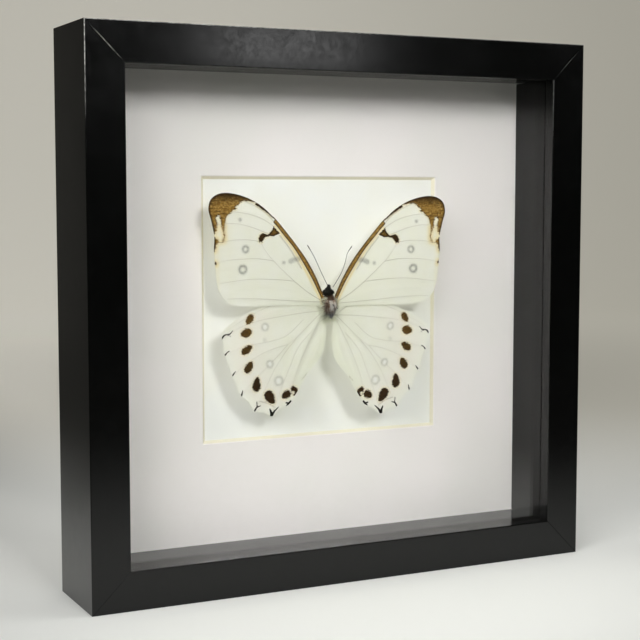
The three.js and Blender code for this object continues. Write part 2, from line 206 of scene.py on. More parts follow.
def painted_edge_highlights(s):
    """Painted highlights: pale lines on the upper arrises of the front and the lip's inner arris, and in the middle
    of the two top mitres.
    """
    x, y, z = (s.axis(name) for name in "XYZ")

    def off(value, level):
        return s.size(s.minus(value, level))

    def arris(distance, run):
        return s.times(s.step(s.larger(distance, front), *ARRIS_WIDTH), run)

    front = off(y, FRAME_LOW[1])
    left = arris(off(x, FRAME_LOW[0]), s.step(z, *LEFT_ARRIS))
    top = arris(off(z, FRAME_HIGH[2]), s.step(x, *TOP_ARRIS))
    lip = arris(off(x, FRAME_HIGH[0] - FACE_WIDTH), s.step(z, *LIP_ARRIS))
    lip = s.times(lip, s.math("LESS_THAN", z, FRAME_HIGH[2] - FACE_WIDTH))
    across = off(s.size(x), s.minus(z, FRAME_HIGH[2] - FRAME_HIGH[0]))
    mitre = s.times(s.step(across, *MITRE_WIDTH), s.step(off(z, MITRE_MIDDLE), *MITRE_RUN))
    mitre = s.times(mitre, s.times(s.step(x, *MITRE_SIDES), s.step(front, 0.4, 0.2)))
    # Painted highlight lines, broken up a little by noise
    highlight_lines = s.larger(s.larger(left, top), s.larger(lip, mitre))
    return s.times(highlight_lines, s.step(s.noise(1.8, 3.0, 0.6), 0.32, 0.62, 0.25, 1.0))


def lacquer(name):
    """Satin black lacquer with a soft orange peel, a wiped haze, a few dust specks and painted highlights on its
    upper edges and top mitres.
    """
    s = Shader(name)
    peel = s.noise(0.9, 2.0)
    haze = s.noise(16, 5.0, 0.62, stretch=(1.6, 1, 1), twist=0.4)
    mottle = s.noise(3.6, 4.0, 0.68, twist=0.8)
    speck = s.specks(19, 0.26, 0.18)
    fleck = s.specks(7, 0.11, 0.2)
    dust = s.larger(s.times(speck, 0.45), s.times(fleck, 0.25))
    film = s.times(s.times(s.step(haze, 0.42, 0.78), s.step(mottle, 0.35, 0.7)), 0.0016)
    coat = s.mix(film, (0.0005, 0.0006, 0.0005, 1), (0.60, 0.64, 0.58, 1))
    colour = s.mix(dust, coat, (0.42, 0.41, 0.38, 1))
    # Painted highlights: pale lines where the upper edges and top mitres catch the light
    colour = s.mix(painted_edge_highlights(s), colour, (0.66, 0.66, 0.62, 1))
    rough = s.plus(s.step(haze, 0.25, 0.8, 0.13, 0.165), s.step(mottle, 0.3, 0.72, 0.0, 0.05))
    rough = s.plus(rough, s.times(dust, 0.4))
    relief = s.bump(mottle, 0.004, s.bump(peel, 0.001))
    return s.finish(s.surface(colour, rough, relief, IOR=1.43))


def liner(name):
    """The black liner of the box: smooth paper-wrapped board with a faint grain."""
    s = Shader(name)
    grain = s.noise(0.5, 3.0, 0.6, stretch=(1, 3, 3))
    cloud = s.noise(14, 3.0)
    fleck = s.specks(6, 0.14, 0.2)
    black = s.mix(cloud, (0.0022, 0.0023, 0.0020, 1), (0.0036, 0.0036, 0.0032, 1))
    colour = s.mix(s.times(fleck, 0.4), black, (0.3, 0.3, 0.28, 1))
    rough = s.plus(s.step(cloud, 0.3, 0.7, 0.15, 0.19), s.times(grain, 0.04))
    return s.finish(s.surface(colour, rough, s.bump(grain, 0.003), IOR=1.36))


def pane(name):
    """Clear picture glass. Lamps and soft light go straight through it, and it carries a faint smear."""
    s = Shader(name)
    smear = s.noise(38, 4.0, 0.55, stretch=(1, 1, 2.2), twist=0.6)
    rough = s.step(smear, 0.45, 0.8, 0.0, 0.03)
    tint = (0.985, 0.995, 0.985, 1)
    glass = s.surface(tint, rough, IOR=1.45, Transmission_Weight=1.0, Specular_IOR_Level=0.3)
    path = s.node("LightPath")
    straight = s.larger(path.outputs["Is Shadow Ray"], path.outputs["Is Diffuse Ray"])
    clear = s.node("BsdfTransparent", {"Color": tint}).outputs[0]
    return s.finish(s.node("MixShader", {0: straight, 1: glass, 2: clear}).outputs[0])


def mat_board(name):
    """Off-white mat: a fine paper tooth in front, and a creamy core where the window is cut on the slant."""
    s = Shader(name)
    tooth = s.noise(0.35, 4.0, 0.62)
    felt = s.noise(3.5, 3.0, 0.5)
    warm = s.noise(46, 2.0, 0.5)
    fibre = s.noise(0.5, 2.0, 0.5, stretch=(7, 1, 1), twist=1.5)
    face = s.mix(s.step(warm, 0.3, 0.7), linear(248, 242, 240), linear(244, 240, 236))
    face = s.mix(s.step(felt, 0.35, 0.7, 0.0, 0.10), face, linear(232, 226, 221))
    face = s.mix(s.step(tooth, 0.35, 0.65, 0.0, 0.07), face, linear(210, 206, 200))
    core = s.mix(fibre, linear(245, 241, 223), linear(233, 225, 199))
    facing = s.node("SeparateXYZ", {0: s.node("NewGeometry").outputs["True Normal"]}).outputs["Y"]
    slanted = s.math("LESS_THAN", s.size(facing), 0.9)
    under_skin = s.math("GREATER_THAN", s.axis("Y"), MAT_FRONT + MAT_SKIN)
    colour = s.mix(s.times(slanted, under_skin), face, core)
    height = s.plus(tooth, s.times(felt, 0.5))
    return s.finish(s.surface(colour, 0.92, s.bump(height, 0.03), Specular_IOR_Level=0.2))


def card(name):
    """Bright white card behind the insect, a little cooler than the mat, with a soft fibre."""
    s = Shader(name)
    tooth = s.noise(0.28, 4.0, 0.6)
    cloud = s.noise(24, 3.0)
    fibre = s.noise(0.6, 2.0, 0.5, stretch=(5, 1, 1), twist=2.0)
    colour = s.mix(s.step(cloud, 0.3, 0.7), linear(248, 248, 244), linear(246, 245, 237))
    colour = s.mix(s.step(fibre, 0.55, 0.8, 0.0, 0.10), colour, linear(222, 222, 210))
    return s.finish(s.surface(colour, 0.9, s.bump(tooth, 0.02), Specular_IOR_Level=0.2))


def hardboard(name):
    """Brown hardboard, pressed from fibre, with its screen pattern on the rough side."""
    s = Shader(name)
    fibre = s.noise(1.1, 5.0, 0.7, stretch=(3, 1, 1), twist=2.2)
    other = s.noise(0.9, 5.0, 0.7, stretch=(1, 1, 3), twist=2.2)
    cloud = s.noise(30, 4.0, 0.6)
    screen = s.node("TexVoronoi", {"Vector": s.place, "Scale": 1 / 1.3}).outputs["Distance"]
    colour = s.mix(s.step(fibre, 0.3, 0.7), linear(92, 62, 38), linear(140, 101, 66))
    colour = s.mix(s.step(other, 0.45, 0.75, 0.0, 0.6), colour, linear(74, 48, 30))
    colour = s.mix(s.step(cloud, 0.3, 0.75, 0.0, 0.35), colour, linear(160, 122, 84))
    height = s.plus(s.times(fibre, 0.6), s.times(screen, 0.7))
    return s.finish(s.surface(colour, s.step(fibre, 0.2, 0.8, 0.62, 0.85), s.bump(height, 0.22)))


def zinc(name):
    """Bright zinc-plated steel with a rolled grain and dull patches."""
    s = Shader(name)
    grain = s.noise(0.25, 4.0, 0.7, stretch=(9, 1, 1))
    patch = s.noise(3.2, 4.0, 0.6)
    colour = s.mix(s.step(patch, 0.3, 0.7), linear(196, 196, 190), linear(160, 158, 150))
    colour = s.mix(s.step(grain, 0.6, 0.85, 0.0, 0.4), colour, linear(120, 116, 106))
    rough = s.plus(s.step(patch, 0.3, 0.7, 0.24, 0.4), s.times(grain, 0.12))
    return s.finish(s.surface(colour, rough, s.bump(grain, 0.01), Metallic=1.0))


# ---------------------------------------------------------------- frame, glass and boards

def flat_faced_normals(shape):
    """Shading normals that keep large faces flat, so only the rounded edges between them turn."""
    smoothed = math.cos(math.radians(50))
    normals = []
    for face in shape.faces:
        for loop in face.loops:
            total = Vector((0, 0, 0))
            for other in loop.vert.link_faces:
                if other.normal.dot(face.normal) > smoothed:
                    total += other.normal * other.calc_area()
            normals.append(total.normalized() if total.length > 0 else face.normal.copy())
    return normals


def rounded_copy(node, name, width, longer_than=0.0, groove=0.0):
    """A new piece with a CAD node's shape, its long sharp edges rounded by width and its front mitres eased."""
    def sharp(edge, length):
        return (len(edge.link_faces) == 2 and edge.calc_face_angle(0) > math.radians(30)
                and edge.calc_length() > length * MM)

    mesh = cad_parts[node].data.copy()
    mesh.name = name
    shape = bmesh.new()
    shape.from_mesh(mesh)
    bmesh.ops.remove_doubles(shape, verts=shape.verts, dist=0.002 * MM)
    bmesh.ops.dissolve_limit(shape, angle_limit=math.radians(1), verts=shape.verts, edges=shape.edges)
    long_edges = [edge for edge in shape.edges if sharp(edge, longer_than)]
    bmesh.ops.bevel(shape, geom=long_edges, offset=width * MM, segments=3, profile=0.5, affect="EDGES",
                    clamp_overlap=True)
    if groove:
        front = min(v.co.y for v in shape.verts) + 0.01 * MM
        mitres = [edge for edge in shape.edges if sharp(edge, 5) and max(v.co.y for v in edge.verts) < front]
        bmesh.ops.bevel(shape, geom=mitres, offset=groove * MM, segments=1, affect="EDGES", clamp_overlap=True)
    bmesh.ops.triangulate(shape, faces=[f for f in shape.faces if len(f.verts) > 4])
    shape.normal_update()
    shape.to_mesh(mesh)
    normals = flat_faced_normals(shape)
    shape.free()
    piece = add_object(name, mesh)
    mesh.materials.clear()
    mesh.shade_smooth()
    mesh.normals_split_custom_set(normals)
    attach(piece, "root")
    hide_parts(node)
    return piece


def dress(node, material):
    """Gives a CAD node's own mesh a material."""
    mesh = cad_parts[node].data
    mesh.materials.clear()
    mesh.materials.append(material)


SIDES = ("bottom", "right", "top", "left")
MAT_FRONT, MAT_SKIN = corners("mat")[0][1], 0.34
TAB_COUNT = 8
RAIL_ROUNDING, RAIL_EDGE_LENGTH, RAIL_GROOVE = 0.45, 150, 0.1
TAB_ROUNDING = 0.16

lacquer_black = lacquer("satin_black_lacquer")
zinc_plate = zinc("zinc_plated_steel")
for side in SIDES:
    rail = rounded_copy(f"frame_rail_{side}", f"lacquered_rail_{side}", RAIL_ROUNDING, RAIL_EDGE_LENGTH, RAIL_GROOVE)
    rail.data.materials.append(lacquer_black)
    dress(f"spacer_{side}", liner(f"black_liner_{side}"))
dress("glass_pane", pane("picture_glass"))
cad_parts["glass_pane"].visible_shadow = False
dress("mat", mat_board("mat_board"))
dress("mounting_board", card("mounting_card"))
dress("back_board", hardboard("hardboard"))
for number in range(1, TAB_COUNT + 1):
    tab = rounded_copy(f"back_tab_{number}", f"steel_tab_{number}", TAB_ROUNDING)
    tab.data.materials.append(zinc_plate)
for node in ("hanger", "hanger_rivet_left", "hanger_rivet_right"):
    dress(node, zinc_plate)


# ---------------------------------------------------------------- lines and outlines in a wing's own plane

OUTLINE_REACH, STROKE_REACH = 2.5, 2.0


def smooth_curve(points, step, closed=False):
    """A smooth line through the points, as points about one step apart."""
    p = np.array(points, float)
    p = np.vstack([p[-1:], p, p[:2]]) if closed else np.vstack([2 * p[0] - p[1], p, 2 * p[-1] - p[-2]])
    t = np.linspace(0, 1, 20, endpoint=False)[:, None]
    parts = []
    for before, start, end, after in zip(p, p[1:], p[2:], p[3:]):
        d0, d1, d2 = (np.linalg.norm(b - a) ** 0.5 for a, b in ((before, start), (start, end), (end, after)))
        leave = ((start - before) / d0 - (end - before) / (d0 + d1) + (end - start) / d1) * d1
        arrive = ((end - start) / d1 - (after - start) / (d1 + d2) + (after - end) / d2) * d1
        parts.append((2 * t**3 - 3 * t**2 + 1) * start + (t**3 - 2 * t**2 + t) * leave
                     + (3 * t**2 - 2 * t**3) * end + (t**3 - t**2) * arrive)
    fine = np.vstack([*parts, p[-2:-1]])
    along = np.concatenate([[0], np.cumsum(np.linalg.norm(np.diff(fine, axis=0), axis=1))])
    stops = np.linspace(0, along[-1], max(2, round(along[-1] / step) + 1))
    line = np.stack([np.interp(stops, along, axis) for axis in fine.T], axis=1)
    return line[:-1] if closed else line


def line_distance(points, line, closed=False):
    """How far each point is from a line, and how far along the line its nearest place is, from 0 to 1."""
    ends = np.roll(line, -1, axis=0) if closed else line[1:]
    best, place = np.full(len(points), 1e9), np.zeros(len(points))
    for i, (start, end) in enumerate(zip(line, ends)):
        span = end - start
        share = np.clip((points - start) @ span / max(span @ span, 1e-12), 0, 1)
        away = np.linalg.norm(points - start - share[:, None] * span, axis=1)
        place = np.where(away < best, (i + share) / len(ends), place)
        best = np.minimum(best, away)
    return best, place


def inside(points, loop):
    """Which points are inside a closed outline."""
    x, y = points.T
    hit = np.zeros(len(points), bool)
    for (ax, ay), (bx, by) in zip(loop, np.roll(loop, -1, axis=0)):
        if ay != by:
            hit ^= ((ay > y) != (by > y)) & (x < ax + (y - ay) * (bx - ax) / (by - ay))
    return hit


def near(points, line, reach):
    """Which points are in the box around a line that is widened by reach."""
    return ((points > line.min(axis=0) - reach) & (points < line.max(axis=0) + reach)).all(axis=1)


def depth_in(points, loop):
    """How deep each point is inside a closed outline, negative outside and no further than OUTLINE_REACH."""
    depth, close = np.full(len(points), -OUTLINE_REACH), near(points, loop, OUTLINE_REACH)
    sign = np.where(inside(points[close], loop), 1, -1)
    depth[close] = np.maximum(sign * line_distance(points[close], loop, closed=True)[0], -OUTLINE_REACH)
    return depth


def deep_in(points, outline, step):
    """How deep each point is inside a smooth outline."""
    return depth_in(points, smooth_curve(outline, step, closed=True))


def far_from(points, line, step):
    """How far each point is from a smooth line."""
    return line_distance(points, smooth_curve(line, step))[0]


def teardrop(centre, half_length, half_width, tilt, taper):
    """An oval spot whose one end is drawn out. tilt is the drawn end's direction, in degrees."""
    angle = np.linspace(0, 2 * math.pi, 28, endpoint=False)
    along, across = np.cos(angle), np.sin(angle)
    across *= 1 - taper * (0.5 + 0.5 * along)
    turn = math.radians(tilt)
    shape = np.stack([along * half_length, across * half_width], axis=1)
    return shape @ np.array([[math.cos(turn), math.sin(turn)], [-math.sin(turn), math.cos(turn)]]) + centre


def stroke(points, line, start_width, end_width):
    """How deep each point is inside a stroke along a line, whose width changes from one end to the other."""
    line, depth = smooth_curve(line, 0.3), np.full(len(points), -STROKE_REACH)
    close = near(points, line, STROKE_REACH)
    away, place = line_distance(points[close], line)
    depth[close] = np.maximum((start_width + (end_width - start_width) * place) / 2 - away, -STROKE_REACH)
    return depth


# ---------------------------------------------------------------- the wings' shapes and markings

# Points are [distance out from the body's mid-plane, height]. The outlines are those of the CAD part.
SPECIMEN_X = -2.0
FORE_OUTLINE = [
    [4.3, 132.0], [8.0, 139.9], [12.4, 147.4], [17.6, 154.4], [23.2, 161.1], [29.1, 167.6], [35.8, 173.2],
    [43.6, 177.0], [52.0, 178.7], [56.8, 178.0], [59.9, 175.7], [61.0, 171.5], [59.7, 166.3], [58.3, 159.5],
    [58.5, 153.1], [57.9, 145.5], [57.5, 141.1], [56.7, 136.8], [55.1, 132.7], [52.0, 129.6], [47.1, 127.7],
    [35.2, 127.3], [20.1, 127.3], [8.3, 126.8], [3.1, 126.4], [3.1, 129.6],
]
HIND_OUTLINE = [
    [2.8, 125.7], [8.5, 129.6], [16.5, 131.2], [24.4, 130.6], [33.8, 127.5], [39.4, 125.0], [44.8, 122.7],
    [50.2, 119.9], [53.7, 116.9], [54.5, 113.9], [53.7, 110.5], [53.5, 106.7], [51.5, 102.2], [50.2, 97.6],
    [47.9, 93.0], [46.3, 87.9], [41.9, 84.1], [38.5, 79.1], [34.4, 78.8], [30.2, 76.5], [25.8, 79.6],
    [21.2, 81.6], [18.8, 84.8], [15.0, 90.1], [11.8, 95.1], [7.6, 99.4], [4.0, 104.1], [2.4, 109.8],
    [2.0, 115.6], [2.2, 120.5],
]

FORE_VEINS = [
    [[3.8, 130.2], [7.9, 137.9], [12.8, 145.9], [18.1, 153.2], [24.0, 160.3], [28.3, 164.7]],
    [[5.4, 129.2], [11.8, 133.0], [18.9, 138.4], [29.3, 147.9], [33.2, 152.4], [35.6, 156.4]],
    [[28.3, 164.7], [32.4, 169.0], [38.1, 172.6], [44.2, 175.0], [52.4, 176.8]],
    [[28.7, 163.3], [35.3, 167.2], [43.7, 169.6], [51.5, 170.3], [60.5, 170.6]],
    [[32.2, 160.4], [41.9, 163.8], [47.5, 164.9], [53.4, 164.9], [59.6, 164.1]],
    [[35.6, 156.7], [41.9, 157.6], [49.5, 157.5], [58.1, 156.1]],
    [[29.3, 147.9], [37.2, 149.0], [44.3, 149.0], [51.4, 148.6], [58.3, 147.2]],
    [[18.9, 138.4], [27.7, 139.3], [39.6, 139.8], [49.1, 139.1], [57.2, 138.0]],
    [[4.6, 128.3], [13.2, 128.9], [22.8, 129.6], [37.3, 130.8], [46.7, 131.2], [53.8, 131.2]],
]
FORE_FOLDS = [
    # line, height towards the viewer, width
    [[[10.3, 131.4], [22.0, 133.7], [34.4, 135.1], [55.0, 135.6]], -0.16, 1.5],
    [[[7.4, 134.4], [14.2, 141.9], [22.0, 150.2], [29.9, 158.7]], -0.30, 3.4],
    [[[24.0, 146.2], [32.8, 152.8], [43.6, 153.4], [56.4, 152.0]], -0.14, 1.8],
    [[[31.8, 143.8], [43.6, 144.4], [57.0, 143.0]], -0.14, 1.7],
    [[[35.8, 162.7], [45.6, 167.1], [57.4, 167.7]], -0.12, 1.3],
    [[[33.8, 158.7], [44.6, 160.9], [57.4, 160.3]], -0.12, 1.3],
]
HIND_VEINS = [
    [[3.4, 124.1], [9.5, 128.0], [17.5, 129.2], [25.9, 128.4], [34.1, 125.9], [44.6, 121.0], [53.2, 116.3]],
    [[3.8, 124.1], [13.6, 123.5], [24.6, 122.3], [35.6, 120.8], [45.6, 118.0], [53.9, 113.6]],
    [[4.1, 123.5], [10.2, 118.2], [15.8, 113.3], [21.7, 109.2]],
    [[13.7, 120.2], [22.3, 113.3], [29.8, 111.2], [38.9, 110.0], [45.9, 108.6], [52.9, 105.9]],
    [[21.7, 109.2], [30.2, 107.2], [37.1, 104.5], [43.8, 100.6], [49.3, 96.4]],
    [[21.7, 109.2], [27.8, 103.3], [35.4, 96.6], [40.9, 91.8], [45.1, 87.0]],
    [[17.0, 112.1], [23.2, 105.4], [29.0, 97.4], [33.9, 88.2], [38.6, 79.8]],
    [[8.6, 115.8], [16.7, 107.2], [21.0, 98.4], [25.9, 87.8], [30.2, 77.1]],
    [[4.1, 121.5], [8.4, 114.3], [13.7, 104.8], [18.2, 94.5], [21.6, 82.2]],
]
HIND_FOLDS = [
    [[[3.7, 121.9], [7.2, 113.7], [11.7, 104.4], [14.6, 95.8]], -0.55, 1.7],
    [[[2.8, 119.6], [4.7, 111.7], [7.5, 104.4], [11.9, 97.4]], 0.50, 1.5],
    [[[5.2, 120.9], [11.0, 111.7], [16.9, 102.7], [20.2, 93.1]], 0.30, 1.9],
    [[[6.7, 121.7], [13.3, 114.7], [19.3, 108.0], [23.4, 99.0], [26.4, 91.2]], -0.24, 1.6],
    [[[6.2, 124.1], [15.7, 120.6], [26.8, 116.0], [38.8, 113.1], [51.8, 109.8]], -0.20, 2.6],
    [[[8.6, 125.9], [20.5, 126.1], [32.5, 123.5], [43.6, 119.6]], 0.22, 1.5],
    [[[25.1, 107.2], [35.2, 101.9], [46.4, 92.2]], -0.14, 1.8],
    [[[25.9, 101.9], [32.5, 93.7], [40.7, 84.0]], -0.14, 1.8],
]

COSTAL_STRIPE = [
    [2.4, 127.9], [3.5, 131.3], [7.0, 138.9], [11.3, 146.9], [16.5, 153.8], [22.2, 160.7], [27.7, 166.9],
    [29.3, 165.5], [27.8, 163.8], [24.2, 159.6], [18.8, 153.3], [13.8, 145.9], [9.4, 138.7], [5.3, 130.6],
    [4.1, 127.6],
]
CREAM_STRIPE = [
    [4.6, 127.6], [5.6, 130.2], [10.3, 138.7], [14.8, 146.3], [19.9, 154.0], [24.8, 159.9], [28.3, 163.7],
]
CREAM_EDGE = [[15.0, 144.1], [21.1, 153.4], [26.0, 159.3]]
APEX_PATCH = [
    [35.0, 174.6], [36.1, 173.9], [39.4, 174.5], [43.7, 175.2], [45.3, 174.4], [46.7, 173.2], [48.0, 172.4],
    [47.4, 171.5], [49.4, 170.9], [50.3, 169.7], [51.8, 168.6], [52.6, 167.3], [52.9, 165.3], [53.3, 162.9],
    [52.9, 160.1], [52.8, 158.5], [53.4, 156.8], [55.8, 156.6], [54.7, 157.7], [54.0, 159.0], [54.1, 160.5],
    [54.4, 163.0], [55.0, 164.2], [55.0, 165.7], [55.4, 167.0], [56.0, 168.7], [56.8, 168.8], [57.4, 167.6],
    [56.9, 165.8], [56.9, 163.8], [57.4, 162.1], [58.3, 160.8], [60.5, 160.3], [62.8, 166.1], [63.2, 174.0],
    [60.3, 179.0], [51.5, 181.0], [42.6, 179.6],
]
MARGIN_PATCH = [
    [59.7, 159.5], [58.2, 159.0], [57.1, 158.4], [56.1, 157.1], [57.2, 155.8], [57.7, 154.3], [58.1, 152.7],
    [59.9, 152.7],
]
FORE_STROKES = [
    # line, width at its start and end
    [[[28.4, 166.8], [33.0, 170.6], [37.6, 173.8]], 0.55, 1.5],
    [[[58.2, 147.5], [57.7, 146.9]], 1.1, 0.7],
]
CELL_BAR = [
    [29.2, 163.3], [27.3, 161.5], [26.0, 160.4], [27.7, 159.6], [29.6, 159.0], [31.0, 159.2], [32.2, 158.9],
    [33.6, 158.3], [34.5, 157.3], [35.0, 156.2], [35.8, 156.8], [36.2, 156.3], [36.7, 157.7], [36.2, 159.3],
    [34.7, 160.5], [33.2, 160.2], [32.0, 160.0], [31.0, 160.6], [30.0, 161.7],
]
HIND_SPOTS = [
    # centre, half length, half width, tilt, taper
    [[40.8, 121.5], 2.7, 1.9, -54, 0.35],
    [[42.5, 115.3], 2.9, 2.3, -12, 0.25],
    [[42.3, 107.7], 3.1, 2.05, 148, 0.30],
    [[41.4, 99.7], 3.0, 2.2, 122, 0.35],
    [[37.6, 91.7], 3.4, 2.6, 98, 0.50],
    [[31.0, 85.2], 3.6, 3.1, 236, 0.50],
    [[22.9, 86.0], 2.5, 2.15, -34, 0.30],
    [[18.5, 87.5], 2.5, 2.0, 62, 0.25],
]
NOTCH = [[19.3, 86.7], 0.75]
SPOT_BAND = [[38.6, 121.6], [42.9, 108.8], [40.4, 96.1], [31.8, 85.3], [19.9, 85.3]]
INNER_FOLD = [[1.7, 121.5], [2.8, 108.8], [9.5, 98.0], [14.7, 91.1]]
MARGIN_STROKES = [
    [[[54.6, 113.3], [53.3, 114.8], [51.9, 115.2], [50.6, 115.3], [49.3, 116.7]], 0.75, 0.3],
    [[[52.0, 115.0], [50.2, 114.2]], 0.4, 0.2],
    [[[53.4, 105.4], [52.3, 106.7], [50.9, 107.6]], 0.75, 0.35],
    [[[49.8, 96.0], [48.9, 97.2], [48.1, 98.1]], 0.8, 0.35],
    [[[45.5, 86.6], [45.0, 87.9], [44.6, 89.2]], 0.85, 0.35],
    [[[38.9, 79.5], [37.6, 81.2], [35.9, 81.7]], 0.85, 0.35],
    [[[37.6, 81.1], [37.7, 83.8]], 0.5, 0.3],
    [[[30.3, 76.5], [30.5, 78.1], [31.2, 79.9]], 1.7, 0.6],
    [[[30.1, 77.1], [29.0, 78.7], [26.7, 80.6]], 1.2, 0.3],
    [[[22.6, 80.7], [21.6, 81.8], [20.6, 82.8]], 1.0, 1.1],
    [[[21.4, 81.8], [22.9, 82.3]], 1.2, 0.6],
]
GREY_STROKES = [
    [[[36.3, 83.8], [32.2, 82.6], [28.7, 80.6]], 0.55, 0.35],
    [[[12.2, 95.1], [14.8, 92.4]], 0.45, 0.3],
]
# centre, radius of the ring, its width, strength
FORE_RINGS = [[[43.1, 153.4], 1.35, 0.55, 0.75], [[44.5, 144.3], 1.65, 0.62, 0.8], [[45.7, 166.7], 0.3, 0.55, 0.7],
              [[24.0, 147.0], 0.3, 0.6, 0.6]]
HIND_RINGS = [[[33.1, 117.7], 1.5, 0.55, 0.42], [[33.3, 111.7], 0.5, 0.6, 0.22], [[30.9, 100.6], 1.5, 0.55, 0.42],
              [[26.5, 92.6], 1.9, 0.6, 0.40]]
PUPILS = [[[33.1, 117.7], 0.75], [[30.9, 100.6], 0.75], [[26.5, 92.6], 0.9]]
SPECKLE = [[16.6, 148.5], [18.7, 148.2], [20.5, 147.5]]

HIND_CREST = 128
SHEET_THICKNESS = 0.16
RIM_STEP, SHEET_STEP, MARK_STEP = 0.3, 0.46, 0.21
TRIANGLE_ROW, SHEET_JITTER = 0.866, 0.12


def fore_marks(p):
    """How deep each point is in brown, how golden that brown is, and the other tints of the forewing."""
    apex, margin, bar, stripe = (deep_in(p, shape, 0.4)
                                 for shape in (APEX_PATCH, MARGIN_PATCH, CELL_BAR, COSTAL_STRIPE))
    brown = np.maximum.reduce([apex, margin, bar, stripe, *(stroke(p, *mark) for mark in FORE_STROKES)])
    rim = deep_in(p, FORE_OUTLINE, 1.0)
    prongs = np.clip((p[:, 0] - 50) / 2, 0, 1) * np.clip((166.5 - p[:, 1]) / 3, 0, 1)
    fading = np.clip((163.5 - p[:, 1]) / 3, 0, 1) * ((p[:, 0] > 51) & (p[:, 0] < 55.8))
    brown = brown - 0.42 * fading
    golden = np.clip(np.minimum(apex / 0.7, (rim - 0.25) / 1.0), 0, 1) * np.clip((178.0 - p[:, 1]) / 4.5, 0, 1)
    golden = np.maximum(golden, 0.8 * prongs * np.clip((rim - 0.3) / 0.8, 0, 1))
    golden = np.maximum(golden, np.clip((stripe - 0.28) / 0.35, 0, 1))
    golden = np.maximum(golden, 0.6 * np.clip((bar - 0.4) / 0.8, 0, 1) * (p[:, 0] < 31.5))
    cream = np.exp(-((far_from(p, CREAM_STRIPE, 0.4) / 0.75) ** 4))
    edge_of_cream = far_from(p, CREAM_EDGE, 0.4)
    halo = np.clip((brown + 0.9) / 0.9, 0, 1) * (p[:, 0] > 30)
    halo = np.maximum(0.55 * halo, 0.8 * np.clip((brown + 2.4) / 2.4, 0, 1) * prongs)
    return {"brown": brown, "golden": golden, "cream": np.maximum(0.75 * cream, halo),
            "line": 0.5 * np.exp(-((edge_of_cream / 0.25) ** 2)), "grey": rings(p, FORE_RINGS) + 0.55 * speckle(p),
            "black": np.full(len(p), -3.0), "white": np.zeros(len(p)),
            "pink": np.zeros(len(p)), "green": np.exp(-np.hypot(p[:, 0] - 3, p[:, 1] - 128) / 16),
            "rag": np.where(stripe > -0.6, 0.25, np.clip(2.2 + apex + 1.2, 2.2, 3.6) + 2.0 * prongs)}


def hind_marks(p):
    """The hindwing's tints, in the forewing's terms."""
    spots = [depth_in(p, teardrop(*spot)) for spot in HIND_SPOTS]
    notch_centre, notch_radius = NOTCH
    spots[-1] = np.minimum(spots[-1], np.linalg.norm(p - notch_centre, axis=1) - notch_radius)
    brown = np.maximum.reduce(spots)
    golden = np.clip((p[:, 1] - 92) / 26, 0, 1) * 0.3
    black = np.maximum.reduce([stroke(p, *mark) for mark in MARGIN_STROKES])
    grey_lines = np.maximum.reduce([stroke(p, *mark) for mark in GREY_STROKES])
    white = np.max([np.exp(-((np.linalg.norm((p - c) / [1, 1.35], axis=1) / r) ** 4)) for c, r in PUPILS], axis=0)
    rim = deep_in(p, HIND_OUTLINE, 1.0)
    band = far_from(p, SPOT_BAND, 1.0)
    fold = far_from(p, INNER_FOLD, 1.0)
    return {"brown": brown, "golden": golden, "cream": 0.42 * np.clip((brown + 1.1) / 1.1, 0, 1),
            "line": 0.45 * np.clip(grey_lines / 0.12, 0, 1), "grey": rings(p, HIND_RINGS), "black": black,
            "white": white, "pink": np.exp(-((band / 9) ** 2)) * np.clip(rim / 3, 0.35, 1),
            "green": np.maximum(np.exp(-((fold / 5.5) ** 2)), np.exp(-np.hypot(p[:, 0] - 3, p[:, 1] - 123) / 10)),
            "rag": np.full(len(p), 3.0)}


def rings(p, table):
    """How grey each point is from the soft rings of a table."""
    return sum(strength * np.exp(-(((np.linalg.norm(p - centre, axis=1) - radius) / width) ** 2))
               for centre, radius, width, strength in table)


def speckle(p):
    """The faint grey smudge in the forewing's cell."""
    return np.exp(-((far_from(p, SPECKLE, 0.4) / 1.2) ** 4))


WINGS = {
    "forewing": {"outline": FORE_OUTLINE, "hub": (5.0, 128.7), "veins": FORE_VEINS, "folds": FORE_FOLDS,
                 "marks": fore_marks, "vein_tint": 0.44, "fringe": 0.5, "fringe_from": (56, 160),
                 "costa": ([4.1, 131.6], [29.4, 167.7], 0.42)},
    "hindwing": {"outline": HIND_OUTLINE, "hub": (6.2, 123.0), "veins": HIND_VEINS, "folds": HIND_FOLDS,
                 "marks": hind_marks, "vein_tint": 0.3, "fringe": 0.7, "fringe_from": (14, 116),
                 "costa": ([16.5, 131.0], [50.6, 119.4], 0.24)},
}
VEIN_HEIGHT, VEIN_SPREAD = 0.10, 0.8
STRONG_VEINS, STRONG_VEIN, FINE_VEIN, VEIN_END, VEIN_SIDES = 3, 0.18, 0.15, 0.09, 6
FRINGE_PER_STEP, FRINGE_RADIUS = 3, 0.05
# How each wing was set: its side, the level of its front face, how that changes out and down, its turn about the
# root in degrees, its shift out and up, and its spread and lean
SETTINGS = {
    "forewing_left": ("forewing", -1, -1.5, -0.01, 0.0, 0.0, 0.0, 0.0, 0.0, 0.0),
    "forewing_right": ("forewing", 1, -1.5, -0.05, 0.0, -0.76, -1.8, -0.9, 0.0, 0.0),
    "hindwing_left": ("hindwing", -1, -0.2, -0.01, -0.02, 0.0, 0.0, 0.0, 0.0, 0.0),
    "hindwing_right": ("hindwing", 1, -0.2, -0.05, -0.065, 0.62, 0.0, -2.2, -0.035, -0.1),
}
TINTS = ("brown", "golden", "cream", "line", "grey", "black", "white", "pink", "green", "rag")


